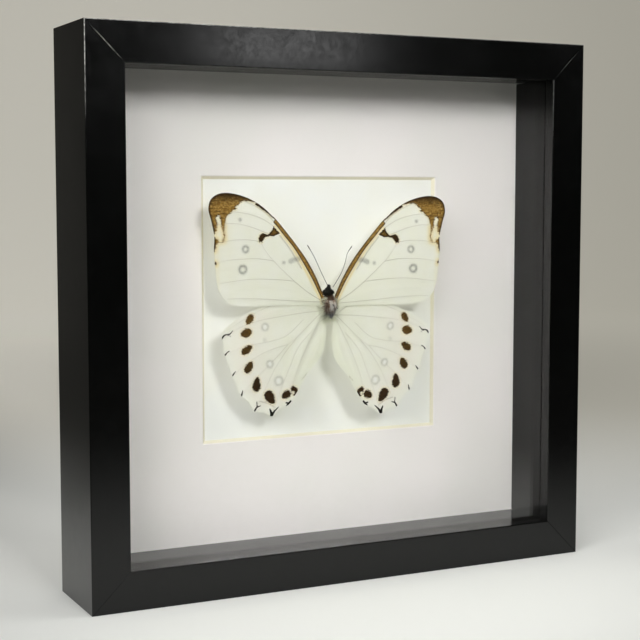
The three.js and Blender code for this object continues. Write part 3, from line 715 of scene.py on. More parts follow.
def wing_relief(wing, p):
    """How far back a wing's front face lies from its level, with its raised veins and the folds between them."""
    y = np.zeros(len(p))
    fade = np.clip(line_distance(p, smooth_curve(wing["outline"], 1.5, closed=True), closed=True)[0] / 4, 0.25, 1)
    for line, height, width in wing["folds"]:
        y -= height * fade * np.exp(-((far_from(p, line, 0.8) / width) ** 2))
    for line in wing["veins"]:
        y -= VEIN_HEIGHT * fade * np.exp(-((far_from(p, line, 0.8) / VEIN_SPREAD) ** 2))
    return y


def place_wing(wing, setting, p, y):
    """Points of the wing's plane, and how far back they are from its level, in the frame's axes."""
    _, side, front, rise_out, rise_down, turn, out, up, spread, lean = setting
    c, s = math.cos(math.radians(turn)), math.sin(math.radians(turn))
    below = np.maximum(0, HIND_CREST - p[:, 1])
    moved = (p - wing["hub"]) @ np.array([[c, s], [-s, c]]) + wing["hub"] + [out, up]
    moved[:, 0] += spread * (p[:, 0] - wing["hub"][0]) + lean * below
    level = front + rise_out * p[:, 0] + rise_down * below
    return np.stack([SPECIMEN_X + side * moved[:, 0], level + y, moved[:, 1]], axis=1)


def wing_sheet(wing):
    """Points and triangles over a wing, finer close to its markings."""
    rim = wing["rim"]
    low, high = rim.min(axis=0), rim.max(axis=0)
    outline = smooth_curve(wing["outline"], 1.0, closed=True)

    def lattice(step):
        x, y = np.meshgrid(np.arange(low[0], high[0], step), np.arange(low[1], high[1], step * TRIANGLE_ROW))
        x = x + (np.arange(len(y)) % 2 * step / 2)[:, None]
        grid = np.stack([x.ravel(), y.ravel()], axis=1)
        grid = grid + rng.uniform(-SHEET_JITTER, SHEET_JITTER, grid.shape) * step
        return grid[depth_in(grid, outline) > max(0.14, step * 0.55)]

    def close_to_a_mark(grid):
        tints = wing["marks"](grid)
        return (np.maximum(tints["brown"], tints["black"]) > -0.5) & (np.minimum(tints["brown"], 9) < 0.9)

    coarse, fine = lattice(SHEET_STEP), lattice(MARK_STEP)
    coarse, fine = coarse[~close_to_a_mark(coarse)], fine[close_to_a_mark(fine)]
    flat = np.vstack([rim, coarse, fine])
    edges = [(i, (i + 1) % len(rim)) for i in range(len(rim))]
    made = geometry.delaunay_2d_cdt([Vector(q) for q in flat], edges, [], 1, 1e-5)
    return np.array([tuple(q) for q in made[0]]), np.array(made[2])


class Build:
    """Gathers vertices and faces for one mesh."""

    def __init__(self):
        self.vertices, self.faces, self.slots, self.count = [], [], [], 0

    def add(self, vertices, faces, slot=0):
        self.vertices.append(np.asarray(vertices, float))
        self.faces += [tuple(int(i) + self.count for i in face) for face in faces]
        self.slots += [slot] * len(faces)
        self.count += len(vertices)

    def piece(self, name, materials, sharp=50):
        mesh = bpy.data.meshes.new(name)
        mesh.from_pydata(np.vstack(self.vertices) * MM, [], self.faces)
        for material in materials:
            mesh.materials.append(material)
        mesh.polygons.foreach_set("material_index", self.slots)
        mesh.shade_smooth()
        if sharp:
            mesh.set_sharp_from_angle(angle=math.radians(sharp))
        made = add_object(name, mesh)
        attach(made, "root")
        return made


def tube(line, radii, sides):
    """A round tube along a line of 3-D points, closed at both ends, with its own radius at each point."""
    line, radii = np.asarray(line, float), np.broadcast_to(radii, len(line))
    run = np.gradient(line, axis=0)
    run /= np.linalg.norm(run, axis=1)[:, None]
    up = np.cross(run, [0.02, 1.0, 0.03])
    up /= np.linalg.norm(up, axis=1)[:, None]
    side = np.cross(run, up)
    turn = np.linspace(0, 2 * math.pi, sides, endpoint=False)
    ring = up[:, None] * np.cos(turn)[None, :, None] + side[:, None] * np.sin(turn)[None, :, None]
    vertices = (line[:, None] + ring * radii[:, None, None]).reshape(-1, 3)
    vertices = np.vstack([vertices, line[:1], line[-1:]])
    faces = []
    first, last = len(vertices) - 2, len(vertices) - 1
    for i in range(sides):
        j = (i + 1) % sides
        faces += [(k * sides + i, k * sides + j, (k + 1) * sides + j, (k + 1) * sides + i)
                  for k in range(len(line) - 1)]
        faces += [(first, j, i), (last, (len(line) - 1) * sides + i, (len(line) - 1) * sides + j)]
    return vertices, faces


def strands(roots, directions, lengths, radius, bend, segments=3):
    """Fine tapering hairs, as three-sided spikes. bend is how far each tip is carried, as a share of its length."""
    roots, directions, bend = (np.asarray(a, float) for a in (roots, directions, bend))
    directions = directions / np.linalg.norm(directions, axis=1)[:, None]
    lengths, radius = np.broadcast_to(lengths, len(roots)), np.broadcast_to(radius, len(roots))
    first = np.cross(directions, rng.normal(size=directions.shape))
    first /= np.linalg.norm(first, axis=1)[:, None]
    second = np.cross(directions, first)
    rings_made = []
    for k in range(segments):
        t = k / segments
        middle = roots + lengths[:, None] * (directions * t + bend * t * t)
        for angle in (0, 2 * math.pi / 3, 4 * math.pi / 3):
            spread = (first * math.cos(angle) + second * math.sin(angle)) * (radius * (1 - 0.6 * t))[:, None]
            rings_made.append(middle + spread)
    rings_made.append(roots + lengths[:, None] * (directions + bend))
    vertices = np.stack(rings_made, axis=1)
    size = vertices.shape[1]
    pattern = [(2, 1, 0)]
    for k in range(segments - 1):
        pattern += [(k * 3 + i, k * 3 + (i + 1) % 3, k * 3 + 3 + (i + 1) % 3, k * 3 + 3 + i) for i in range(3)]
    tip, ring = size - 1, (segments - 1) * 3
    pattern += [(ring + i, ring + (i + 1) % 3, tip) for i in range(3)]
    faces = [tuple(n * size + i for i in face) for n in range(len(roots)) for face in pattern]
    return vertices.reshape(-1, 3), faces


def wing_material(name):
    """Scaled wing: chalky greenish white that lets light through, brown and black markings, grey rings."""
    s = Shader(name)
    flow = s.node("Attribute", attribute_name="flow").outputs["Vector"]
    streak = s.noise(1.0, 4.0, 0.6, stretch=(0.5, 3.6, 1), source=flow)
    ragged = s.noise(1.0, 4.0, 0.68, stretch=(0.42, 1.9, 1), source=flow)
    scales = s.noise(0.22, 2.0, 0.6)
    cloud = s.noise(7, 3.0)
    dapple = s.noise(0.8, 3.0, 0.7)
    pale = s.mix(s.step(cloud, 0.3, 0.7), linear(254, 254, 249), linear(252, 252, 244))
    pale = s.mix(s.times(s.attribute("pink"), 0.7), pale, linear(254, 251, 246))
    pale = s.mix(s.times(s.attribute("green"), 0.6), pale, linear(248, 249, 237))
    pale = s.mix(s.step(streak, 0.45, 0.8, 0.0, 0.08), pale, linear(214, 217, 202))
    pale = s.mix(s.attribute("cream"), pale, linear(247, 234, 192))
    pale = s.mix(s.times(s.attribute("grey"), s.step(dapple, 0.3, 0.62, 0.45, 1.0)), pale,
                 linear(150, 152, 146))
    pale = s.mix(s.attribute("line"), pale, linear(122, 108, 88))
    pale = s.mix(s.attribute("white"), pale, linear(255, 255, 254))
    noise_edge = s.times(s.minus(ragged, 0.5), s.attribute("rag"))
    brown_mask = s.step(s.plus(s.attribute("brown"), noise_edge), -0.10, 0.14)
    black_mask = s.step(s.plus(s.attribute("black"), s.times(noise_edge, 0.25)), -0.07, 0.07)
    dark = s.mix(s.step(ragged, 0.3, 0.7), linear(30, 16, 2), linear(62, 40, 8))
    gold = s.mix(s.step(dapple, 0.3, 0.7), linear(122, 88, 30), linear(186, 148, 74))
    gold = s.mix(s.step(dapple, 0.56, 0.72, 0.0, 0.55), gold, linear(222, 196, 134))
    gold = s.mix(s.step(streak, 0.46, 0.66, 0.0, 0.75), gold, linear(82, 55, 15))
    gold_share = s.times(s.attribute("golden"), s.step(ragged, 0.3, 0.52, 0.5, 1.0))
    colour = s.mix(brown_mask, pale, s.mix(gold_share, dark, gold))
    colour = s.mix(black_mask, colour, linear(24, 21, 12))
    colour = s.mix(s.step(scales, 0.3, 0.7, 0.0, 0.06), colour, s.mix(0.5, colour, (0, 0, 0, 1)))
    relief = s.bump(scales, 0.02, s.bump(streak, 0.05))
    skin = s.surface(colour, 0.7, relief, Specular_IOR_Level=0.12)
    through = s.node("BsdfTranslucent", {"Color": colour, "Normal": relief}).outputs[0]
    share = s.times(s.minus(1.0, s.times(brown_mask, 0.7)), 0.66)
    return s.finish(s.node("MixShader", {0: share, 1: skin, 2: through}).outputs[0])


def vein_material(name, light, dark):
    """Horn or enamel with a soft cloud of two shades."""
    s = Shader(name)
    colour = s.mix(s.step(s.noise(1.6, 3.0), 0.3, 0.7), light, dark)
    return s.finish(s.surface(colour, 0.55, s.bump(s.noise(0.3, 2.0), 0.02), Specular_IOR_Level=0.3))


def hair_material(name, dark, light, rough, through):
    """Hair whose shade changes from strand to strand. through is the share of light that passes through it."""
    s = Shader(name)
    shade = s.noise(0.8, 2.0, 0.6)
    fine = s.noise(0.16, 2.0, 0.6)
    colour = s.mix(s.step(shade, 0.3, 0.7), dark, light)
    colour = s.mix(s.step(fine, 0.35, 0.75, 0.0, 0.5), colour, s.mix(0.5, dark, light))
    hair = s.surface(colour, rough, Specular_IOR_Level=0.3)
    if through:
        glow = s.node("BsdfTranslucent", {"Color": colour}).outputs[0]
        hair = s.node("MixShader", {0: through, 1: hair, 2: glow}).outputs[0]
    return s.finish(hair)


membrane = wing_material("wing_scales")
costa_brown = vein_material("brown_costa", linear(112, 82, 36), linear(62, 42, 14))
fringe_white = hair_material("white_fringe", linear(252, 253, 247), linear(240, 241, 230), 0.5, 0.4)


def make_wing_patterns():
    """The sheet, relief and tints that a left and a right wing share."""
    for wing in WINGS.values():
        wing["rim"] = smooth_curve(wing["outline"], RIM_STEP, closed=True)
        wing["sheet"], wing["triangles"] = wing_sheet(wing)
        wing["y"] = wing_relief(wing, wing["sheet"])
        wing["tints"] = wing_tints(wing, wing["sheet"])


def wing_tints(wing, flat, vein=0.0):
    """Every tint of the wing at some flat points, with a vein's grey line added."""
    tints = wing["marks"](flat)
    away = flat - wing["hub"]
    reach = np.hypot(*away.T)
    flow = np.stack([np.arctan2(away[:, 1], away[:, 0]) * np.maximum(reach, 6), reach, 0 * reach], axis=1)
    tints["line"] = np.maximum(tints["line"], vein)
    return tints, flow


def build_wing(node):
    """One wing: a thin sheet with walls, a tube along each vein and the leading edge, and a fringe."""
    setting = SETTINGS[node]
    wing = WINGS[setting[0]]
    side = setting[1]
    sheet, triangles = wing["sheet"], wing["triangles"]
    front = place_wing(wing, setting, sheet, wing["y"])
    back = place_wing(wing, setting, sheet, wing["y"] + SHEET_THICKNESS)
    a, b, c = (sheet[triangles[:, i]] for i in range(3))
    turned = (b - a)[:, 0] * (c - a)[:, 1] - (b - a)[:, 1] * (c - a)[:, 0]
    triangles = np.where((turned * side > 0)[:, None], triangles, triangles[:, ::-1])
    count = len(sheet)
    edges = np.concatenate([triangles[:, [0, 1]], triangles[:, [1, 2]], triangles[:, [2, 0]]])
    seen = {tuple(edge) for edge in edges.tolist()}
    border = [(i, j) for i, j in seen if (j, i) not in seen]
    build = Build()
    walls = [(j, i, i + count, j + count) for i, j in sorted(border)]
    build.add(np.vstack([front, back]), [*triangles.tolist(), *(triangles[:, ::-1] + count).tolist(), *walls])
    painted = [wing["tints"], wing["tints"]]
    for number, line in enumerate(wing["veins"]):
        flat = smooth_curve(line, 0.6)
        y = wing_relief(wing, flat) + SHEET_THICKNESS * 0.5
        radii = np.linspace(STRONG_VEIN if number < STRONG_VEINS else FINE_VEIN, VEIN_END, len(flat))
        build.add(*tube(place_wing(wing, setting, flat, y), radii, VEIN_SIDES))
        at_vertices = np.vstack([np.repeat(flat, VEIN_SIDES, axis=0), flat[:1], flat[-1:]])
        painted.append(wing_tints(wing, at_vertices, wing["vein_tint"]))
    start, end, thick = wing["costa"]
    rim = wing["rim"]
    first, last = (int(np.argmin(np.linalg.norm(rim - q, axis=1))) for q in (start, end))
    costa = np.roll(rim, -first, axis=0)[:(last - first) % len(rim) + 1:2]
    y = wing_relief(wing, costa) + SHEET_THICKNESS * 0.5
    radii = thick * np.linspace(1.0, 0.45, len(costa))
    build.add(*tube(place_wing(wing, setting, costa, y), radii, sides=8), slot=1)
    add_fringe(build, wing, setting)
    edge = costa_brown if setting[0] == "forewing" else fringe_white
    piece = build.piece(f"{node}_scaled", [membrane, edge, fringe_white])
    mesh = piece.data
    spare = len(mesh.vertices) - sum(len(flow) for _, flow in painted)
    for tint in TINTS:
        values = np.concatenate([*(tints[tint] for tints, _ in painted), np.zeros(spare)])
        mesh.attributes.new(tint, "FLOAT", "POINT").data.foreach_set("value", values)
    flow = np.vstack([*(flow for _, flow in painted), np.zeros((spare, 3))])
    mesh.attributes.new("flow", "FLOAT_VECTOR", "POINT").data.foreach_set("vector", flow.ravel())
    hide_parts(node)


def add_fringe(build, wing, setting):
    """Short scales that stand out from the wing's outer margin."""
    rim = wing["rim"]
    after, before = np.roll(rim, -1, axis=0), np.roll(rim, 1, axis=0)
    run = after - before
    outward = np.stack([-run[:, 1], run[:, 0]], axis=1) / np.linalg.norm(run, axis=1)[:, None]
    if inside(rim[:1] + outward[:1] * 0.2, rim)[0]:
        outward = -outward
    farther_out, lower = wing["fringe_from"]
    picks = np.repeat(np.flatnonzero((rim[:, 0] > farther_out) & (rim[:, 1] < lower)), FRINGE_PER_STEP)
    jitter = rng.uniform(0, 1, len(picks))[:, None]
    roots2 = rim[picks] * (1 - jitter) + after[picks] * jitter - outward[picks] * 0.12
    y = wing_relief(wing, roots2) + SHEET_THICKNESS * rng.uniform(0.2, 0.8, len(picks))
    roots = place_wing(wing, setting, roots2, y)
    tips = place_wing(wing, setting, roots2 + outward[picks], y)
    directions = tips - roots + rng.normal(0, 0.18, roots.shape)
    lengths = wing["fringe"] * rng.uniform(0.6, 1.1, len(picks))
    bend = rng.normal(0, 0.08, roots.shape)
    build.add(*strands(roots, directions, lengths, FRINGE_RADIUS, bend, segments=2), slot=2)


make_wing_patterns()
for node in SETTINGS:
    build_wing(node)


# ---------------------------------------------------------------- body, hair, antennae and pin

# Body lumps: centre and half sizes. They follow the lumps of the CAD part to within 0.6 mm.
THORAX = [-2.6, -0.4, 127.1], [2.7, 3.5, 4.7]
TAIL_STUB = [-2.4, 0.2, 122.2], [1.8, 2.5, 2.1]
HEAD = [-3.0, -0.8, 132.6], [2.0, 2.0, 1.6]
EYES = [([-3.0 + side * 1.6, -0.8, 132.6], [1.25, 1.5, 1.2]) for side in (-1, 1)]
PALPS = [([-3.1 + side * 0.24, -1.6, 134.6], [0.42, 0.8, 1.5]) for side in (-1, 1)]
LEG_RADIUS = 0.3
LEG_PATHS = [
    [[1.2, 2.0, 128.3], [3.4, 4.4, 129.9], [2.2, 5.4, 133.5], [2.5, 5.5, 135.0]],
    [[1.2, 2.2, 125.5], [4.0, 4.6, 123.7], [2.5, 5.4, 120.4], [3.0, 5.6, 118.6]],
]
ANTENNAE = {
    "antenna_left": [[-3.6, -2.4, 135.0], [-7.7, -2.6, 142.6], [-11.2, -2.8, 149.4], [-14.6, -2.8, 154.8]],
    "antenna_right": [[-1.3, -2.4, 135.0], [3.1, -2.6, 141.9], [5.0, -2.7, 146.7], [5.9, -2.8, 150.4],
                      [8.4, -2.8, 154.0]],
}
PIN_X = -2.3
LUMP_RINGS, LUMP_SIDES = 24, 36
SKIN_VOXEL = 0.16


def ellipsoid(lump):
    """Points and faces of a lump."""
    rings, sides = LUMP_RINGS, LUMP_SIDES
    centre, halves = np.array(lump[0]), np.array(lump[1])
    polar, turn = np.meshgrid(np.linspace(0, math.pi, rings + 1)[1:-1], np.linspace(0, 2 * math.pi, sides, False),
                              indexing="ij")
    shell = np.stack([np.sin(polar) * np.cos(turn), np.sin(polar) * np.sin(turn), np.cos(polar)], axis=-1)
    points = np.vstack([shell.reshape(-1, 3), [[0, 0, 1], [0, 0, -1]]]) * halves + centre
    faces = [(r * sides + i, (r + 1) * sides + i, (r + 1) * sides + (i + 1) % sides, r * sides + (i + 1) % sides)
             for r in range(rings - 2) for i in range(sides)]
    top, bottom, last = len(points) - 2, len(points) - 1, (rings - 2) * sides
    faces += [(top, i, (i + 1) % sides) for i in range(sides)]
    faces += [(bottom, last + (i + 1) % sides, last + i) for i in range(sides)]
    return points, faces


def smooth_path(points, step):
    """A smooth 3-D line through the points, smooth as seen from the front."""
    line = np.array(points, float)
    flat = smooth_curve(line[:, [0, 2]], step)
    deep = np.interp(np.linspace(0, 1, len(flat)), np.linspace(0, 1, len(line)), line[:, 1])
    return np.stack([flat[:, 0], deep, flat[:, 1]], axis=1)


def skin_of_body():
    """One skin over the lumps and legs."""
    build = Build()
    for lump in (THORAX, TAIL_STUB, HEAD, *EYES, *PALPS):
        build.add(*ellipsoid(lump))
    for side in (-1, 1):
        for path in LEG_PATHS:
            line = smooth_path([[THORAX[0][0] + side * out, y, z] for out, y, z in path], 0.4)
            joint = 1 + 0.25 * np.cos(np.linspace(0, 6 * math.pi, len(line)))
            build.add(*tube(line, LEG_RADIUS * 0.82 * joint, sides=10))
    body = build.piece("body_skin", [body_hide], sharp=0)
    remesh = body.modifiers.new("skin", "REMESH")
    remesh.mode, remesh.voxel_size, remesh.use_smooth_shade = "VOXEL", SKIN_VOXEL * MM, True
    relax = body.modifiers.new("relax", "SMOOTH")
    relax.factor, relax.iterations = 0.5, 3
    return body


def lump_roots(lump, count, keep):
    """Places and outward directions spread over a lump, where keep allows them."""
    centre, halves = np.array(lump[0]), np.array(lump[1])
    found_at, found_out = np.zeros((0, 3)), np.zeros((0, 3))
    while len(found_at) < count:
        unit = rng.normal(size=(count * 4, 3))
        unit /= np.linalg.norm(unit, axis=1)[:, None]
        at, out = centre + unit * halves * 0.97, unit / halves
        chosen = keep(at)
        found_at, found_out = np.vstack([found_at, at[chosen]]), np.vstack([found_out, out[chosen]])
    out = found_out[:count]
    return found_at[:count], out / np.linalg.norm(out, axis=1)[:, None]


def tuft(build, slot, lump, count, keep, lean, length, radius, bend, spread, lift):
    """Hair over part of a lump. lean may depend on where a hair grows."""
    at, out = lump_roots(lump, count, keep)
    leaning = lean(at) if callable(lean) else np.array(lean, float)
    directions = out * lift + leaning + rng.normal(0, spread, at.shape)
    lengths = rng.uniform(*length, count)
    build.add(*strands(at, directions, lengths, radius * rng.uniform(0.7, 1.2, count),
                       np.array(bend) + rng.normal(0, 0.12, at.shape)), slot=slot)


def front_band(low, high, front=1.0, left=-99.0, right=99.0):
    """Keeps the places of a height range, on the front side, between two widths."""
    return lambda at: ((at[:, 2] > low) & (at[:, 2] < high) & (at[:, 1] < front)
                       & (at[:, 0] - SPECIMEN_X > left) & (at[:, 0] - SPECIMEN_X < right))


def base_band(low, high):
    """Keeps the places level with the front of the wing bases."""
    return lambda at: ((at[:, 2] > low) & (at[:, 2] < high) & (at[:, 1] < -1.5) & (at[:, 1] > -2.5))


def toward_middle(share, up):
    """Hair of the head that leans in to a point."""
    def lean(at):
        across = np.clip((HEAD[0][0] - at[:, 0]) / 1.2, -1, 1)
        return np.stack([across * share, np.full(len(at), -0.1), np.full(len(at), up)], axis=1)
    return lean


def away_from_middle(share, down):
    """Hair that leans out along the wings."""
    def lean(at):
        side = np.sign(at[:, 0] - SPECIMEN_X)
        return np.stack([side * share, np.full(len(at), 0.02), np.full(len(at), down)], axis=1)
    return lean


def body_material():
    """The skin under the hair: black head, brown back, and pale down at the sides and tail."""
    s = Shader("body_hide")
    ragged = s.times(s.minus(s.noise(0.7, 3.0, 0.6), 0.5), 1.8)
    height = s.plus(s.axis("Z"), ragged)
    out = s.plus(s.size(s.minus(s.axis("X"), PIN_X)), ragged)
    pale = s.larger(s.step(out, 1.7, 2.2), s.step(height, 123.4, 122.4))
    down = s.mix(s.noise(0.35, 3.0, 0.6), linear(226, 224, 200), linear(250, 246, 232))
    back = s.mix(s.noise(0.3, 3.0, 0.6), linear(52, 36, 22), linear(112, 88, 70))
    colour = s.mix(pale, back, down)
    black = s.mix(s.noise(0.3, 3.0, 0.6), linear(8, 8, 6), linear(30, 29, 20))
    colour = s.mix(s.step(height, 130.4, 131.2), colour, black)
    return s.finish(s.surface(colour, 0.7, s.bump(s.noise(0.25, 2.0), 0.04), Specular_IOR_Level=0.25))


body_hide = body_material()
BLACK, BROWN, TAN, CREAM, BLUE, PALE, SHADE = range(7)
HAIRS = [
    # name, dark and light shade, roughness, share of light let through
    ("hair_black", (8, 8, 6), (30, 29, 20), 0.5, 0.0),
    ("hair_brown", (52, 34, 18), (96, 70, 42), 0.5, 0.0),
    ("hair_tan", (176, 142, 116), (246, 226, 208), 0.5, 0.3),
    ("hair_cream", (253, 248, 240), (255, 254, 250), 0.5, 0.4),
    ("hair_blue", (18, 22, 30), (48, 58, 72), 0.3, 0.0),
    ("hair_pale", (248, 250, 226), (254, 254, 244), 0.5, 0.45),
    ("hair_shade", (96, 98, 78), (160, 162, 138), 0.5, 0.3),
]
UP, DOWN, BACK = (0, 0, 0.1), (0, 0, -0.2), (0, 0.1, -0.1)
ANYWHERE = front_band(-99, 999, 99)
TUFTS = [
    # kind, lump, number of hairs, where they grow, lean, lengths, radius, bend, spread, lift
    # Head, eyes and palps: short black hair, drawn up to a point
    (BLACK, HEAD, 1500, ANYWHERE, (0, -0.2, 0.15), (0.4, 0.9), 0.045, UP, 0.25, 0.5),
    (BLACK, HEAD, 700, front_band(133.0, 134.6), toward_middle(0.7, 0.9), (0.7, 1.3), 0.05, UP, 0.12, 0.2),
    *[(BLACK, eye, 420, ANYWHERE, (0, -0.1, -0.2), (0.25, 0.55), 0.045, DOWN, 0.25, 0.9) for eye in EYES],
    *[(BLACK, palp, 360, ANYWHERE, (0, -0.1, 0.1), (0.3, 0.6), 0.04, UP, 0.2, 0.6) for palp in PALPS],
    # Collar and thorax
    (BROWN, THORAX, 1100, front_band(129.0, 131.6, 3.0), (0, -0.3, 0.15), (0.8, 1.5), 0.045, DOWN, 0.25, 0.5),
    (TAN, THORAX, 2600, front_band(124.2, 130.2, 2.4), (0, -0.1, -0.8), (1.1, 2.0), 0.045, DOWN, 0.25, 0.35),
    (BROWN, THORAX, 420, front_band(123.8, 128.4, 0.5, -2.6, -1.3), (-0.3, -0.1, -0.6), (1.3, 2.3), 0.05, DOWN,
     0.25, 0.3),
    (BROWN, THORAX, 420, front_band(123.8, 129.0, 0.5, 1.2, 2.6), (0.3, -0.1, -0.7), (1.3, 2.3), 0.05, DOWN,
     0.25, 0.3),
    (CREAM, THORAX, 460, front_band(126.0, 129.1, -2.2, -1.5, -0.35), (0.05, -0.25, -0.8), (1.4, 2.4), 0.05,
     DOWN, 0.12, 0.5),
    (CREAM, THORAX, 260, front_band(126.8, 128.8, -2.2, 0.55, 1.25), (0, -0.25, -0.8), (1.2, 2.0), 0.045, DOWN,
     0.12, 0.5),
    (BLACK, THORAX, 150, front_band(125.2, 127.3, -3.0, -0.25, 0.45), (0, -0.25, -0.8), (0.9, 1.5), 0.055,
     DOWN, 0.1, 0.5),
    # Glossy blue-black tuft with white hairs, low on the thorax
    (BLUE, THORAX, 620, front_band(122.6, 126.2, -0.6, -1.6, 1.6), (0.05, -0.3, -0.7), (1.0, 1.9), 0.055, DOWN,
     0.25, 0.5),
    (BLUE, TAIL_STUB, 420, front_band(121.0, 124.4, 0.0), (0, -0.3, -0.7), (0.8, 1.6), 0.05, DOWN, 0.25, 0.5),
    (CREAM, THORAX, 210, front_band(122.8, 126.0, -0.6), (0, -0.45, -0.6), (1.2, 2.2), 0.075, DOWN, 0.45, 0.5),
    (PALE, TAIL_STUB, 340, front_band(119.6, 122.0, 1.8), (0, 0, -1.0), (1.4, 2.6), 0.05, BACK, 0.35, 0.5),
    # Hair that spreads from the body over the wing bases, flat along them
    (PALE, THORAX, 300, base_band(122.4, 130.6), away_from_middle(1.6, -0.15), (2.4, 4.6), 0.042, BACK, 0.16, 0.05),
    (PALE, TAIL_STUB, 220, base_band(120.2, 123.8), away_from_middle(1.0, -0.9), (2.6, 5.4), 0.042, (0, 0.06, -0.1),
     0.18, 0.05),
    (BROWN, THORAX, 44, base_band(125.2, 129.2), away_from_middle(1.6, -0.3), (2.0, 3.6), 0.05, (0, 0.08, -0.1),
     0.2, 0.05),
    (SHADE, TAIL_STUB, 60, base_band(120.8, 124.2), away_from_middle(1.2, -0.5), (3.4, 6.4), 0.045, (0, 0.06, -0.05),
     0.22, 0.05),
]


def build_body():
    """The skin and its coat of hair."""
    skin = skin_of_body()
    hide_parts("insect_body")
    coat = Build()
    for row in TUFTS:
        tuft(coat, *row)
    fur = coat.piece("body_hair", [hair_material(name, linear(*dark), linear(*light), rough, through)
                                   for name, dark, light, rough, through in HAIRS], sharp=0)


def build_antenna(node, path):
    """A thin ringed shaft that thickens to a slight club."""
    shaft, taper, swelling, ringing = 0.13, 0.02, 0.12, 0.012
    line = smooth_path(path, 0.12)
    share = np.linspace(0, 1, len(line))
    club = np.exp(-(((share - 0.94) / 0.07) ** 2))
    rings_made = ringing * np.cos(np.arange(len(line)) * math.pi)
    build = Build()
    build.add(*tube(line, shaft - taper * share + swelling * club + rings_made, sides=10))
    piece = build.piece(f"{node}_ringed", [antenna_horn], sharp=0)
    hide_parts(node)


antenna_horn = vein_material("antenna_horn", linear(58, 50, 40), linear(34, 28, 22))
pin_enamel = vein_material("pin_enamel", linear(30, 28, 28), linear(20, 19, 20))
build_body()
for node, path in ANTENNAE.items():
    build_antenna(node, path)
dress("pin", pin_enamel)


# ---------------------------------------------------------------- stage, light and camera

FLOOR_RADIUS, WALL_RADIUS, WALL_HEIGHT = 1500.0, 2600.0, 1900.0
# The wall is painted pale as if lit round this direction, and darker away from it
BACKDROP_AZIMUTH = math.radians(30)
# Name, azimuth, elevation, distance, width, height and watts of each lamp, its beam's spread and the height it faces
LAMPS = [
    ("key", 0, 28, 1100, 330, 330, 2.8, 180, 125),
    ("key_core", 0, 28, 1098, 330, 330, 0.235, 26, 280),
    ("fill_left", -52, 27, 1300, 900, 800, 10.8, 180, 125),
    ("fill_right", 66, 27, 1300, 950, 800, 5.0, 180, 125),
    ("sheen", 22.8, 11.2, 1215, 190, 50, 0.2, 180, 125),
    ("overhead", 0, 88, 1500, 1200, 1200, 9, 180, 125),
]
LAMP_CENTRE = Vector((0, 0, 125))


def around(azimuth, elevation):
    """The direction from the part to a lamp or camera. Azimuth 0 is straight in front, and 90 is to the right."""
    return Vector((math.sin(azimuth) * math.cos(elevation), -math.cos(azimuth) * math.cos(elevation),
                   math.sin(elevation)))


def studio_sweep():
    """A pale round floor that curves up into a wall all round, so no edge of it is ever seen."""
    profile = [(0.0, 0.0), (260.0, 0.0), (700.0, 0.0), (FLOOR_RADIUS, 0.0)]
    bend = WALL_RADIUS - FLOOR_RADIUS
    profile += [(FLOOR_RADIUS + bend * math.sin(a), bend - bend * math.cos(a))
                for a in np.linspace(0.1, math.pi / 2, 14)]
    profile.append((WALL_RADIUS, WALL_HEIGHT + bend))
    sides = 96
    vertices, faces = [(0.0, 0.0, 0.0)], []
    for radius, level in profile[1:]:
        for i in range(sides):
            angle = 2 * math.pi * i / sides
            vertices.append((radius * math.cos(angle) * MM, radius * math.sin(angle) * MM, level * MM))
    for i in range(sides):
        faces.append((0, 1 + i, 1 + (i + 1) % sides))
        for ring in range(len(profile) - 2):
            inner, outer = 1 + ring * sides, 1 + (ring + 1) * sides
            faces.append((inner + i, outer + i, outer + (i + 1) % sides, inner + (i + 1) % sides))
    mesh = bpy.data.meshes.new("studio_sweep")
    mesh.from_pydata(vertices, [], faces)
    mesh.shade_smooth()
    mesh.materials.append(painted_light_paper())
    sweep = add_object("studio_sweep", mesh)


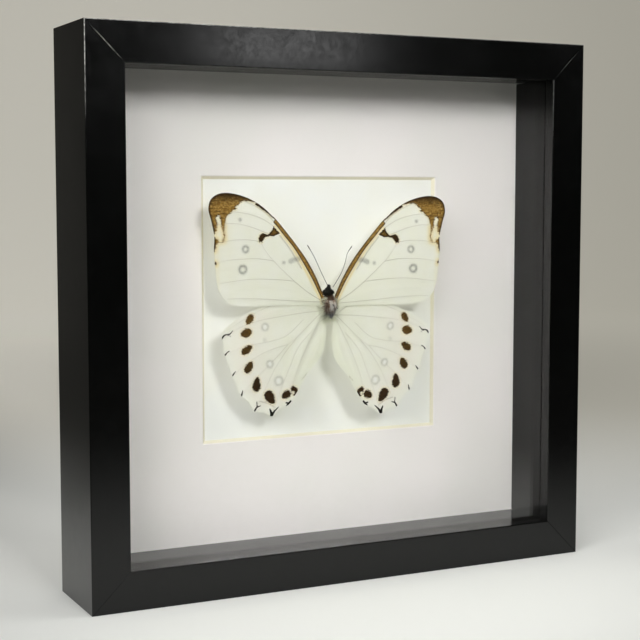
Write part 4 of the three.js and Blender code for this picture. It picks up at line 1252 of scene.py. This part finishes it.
def painted_light_paper():
    """Paper painted with light and shade: a white pool round the part, a pale lit wall behind it as the camera sees
    it, grey shade elsewhere, and a faint glow.
    """
    s = Shader("painted_light_paper")
    reach = s.node("VectorMath", {0: s.place}, operation="LENGTH").outputs["Value"]
    lit_side = (math.sin(BACKDROP_AZIMUTH), math.cos(BACKDROP_AZIMUTH), 0)
    toward = s.node("VectorMath", {0: s.place, 1: lit_side}, operation="DOT_PRODUCT").outputs["Value"]
    facing = s.over(toward, s.larger(reach, 1.0))
    # Painted shade: the wall gets darker away from its lit side
    dim = s.mix(s.step(facing, -0.4, 0.5), linear(54, 54, 51), linear(92, 91, 86))
    rightward = s.over(s.axis("X"), s.larger(reach, 1.0))
    # Painted shade: the pale wall is darker towards the right
    pale = s.mix(s.step(rightward, 0.30, 0.74), linear(235, 232, 221), linear(206, 203, 191))
    # Painted light: the wall facing the lit side is pale
    wall = s.mix(s.step(facing, 0.63, 0.89), dim, pale)
    # Painted pool of light: the floor is white round the part, farther out on the lit side
    pool = s.step(facing, 0.3, 0.65, 420, 620)
    colour = s.mix(s.step(reach, 90, pool), linear(240, 241, 236), wall)
    # Painted glow: the far floor and the wall give off a faint light in the wall's colour
    glow = s.mix(s.step(reach, 550, 1500), (0, 0, 0, 1), wall)
    return s.finish(s.surface(colour, 0.9, Specular_IOR_Level=0.1, Emission_Color=glow, Emission_Strength=0.30))


def softbox(name, azimuth, elevation, distance, width, height, power, spread, aim_height):
    """A soft rectangular lamp. spread is how wide its beam is, in degrees."""
    light = bpy.data.lights.new(name, "AREA")
    light.shape = "RECTANGLE"
    light.size, light.size_y = width * MM, height * MM
    light.energy = power
    light.spread = math.radians(spread)
    lamp = add_object(name, light)
    lamp.location = LAMP_CENTRE * MM + around(math.radians(azimuth), math.radians(elevation)) * distance * MM
    toward = Vector((0, 0, aim_height)) * MM - lamp.location
    lamp.rotation_euler = toward.to_track_quat("-Z", "Y").to_euler()
    lamp.visible_camera = False


def photo_camera():
    """The camera of the photograph."""
    camera = bpy.data.cameras.new("camera")
    camera.sensor_width = CAMERA_SENSOR
    camera.lens = CAMERA_SENSOR * FOCAL_PIXELS / PHOTO_SIZE
    holder = add_object("camera", camera)
    back = around(CAMERA_AZIMUTH, CAMERA_ELEVATION)
    holder.location = (Vector(CAMERA_TARGET) + back * CAMERA_DISTANCE) * MM
    holder.rotation_euler = (-back).to_track_quat("-Z", "Y").to_euler()
    camera.clip_start, camera.clip_end = 0.01, 20
    bpy.context.scene.camera = holder


def studio():
    """The floor and wall, the lamps and the faint light all round."""
    studio_sweep()
    for lamp in LAMPS:
        softbox(*lamp)
    world = bpy.data.worlds.new("studio")
    world.use_nodes = True
    background = world.node_tree.nodes["Background"].inputs
    background["Color"].default_value = linear(200, 198, 190)
    background["Strength"].default_value = 0.05
    bpy.context.scene.world = world
    bpy.context.scene.view_settings.view_transform = "Standard"


studio()
photo_camera()
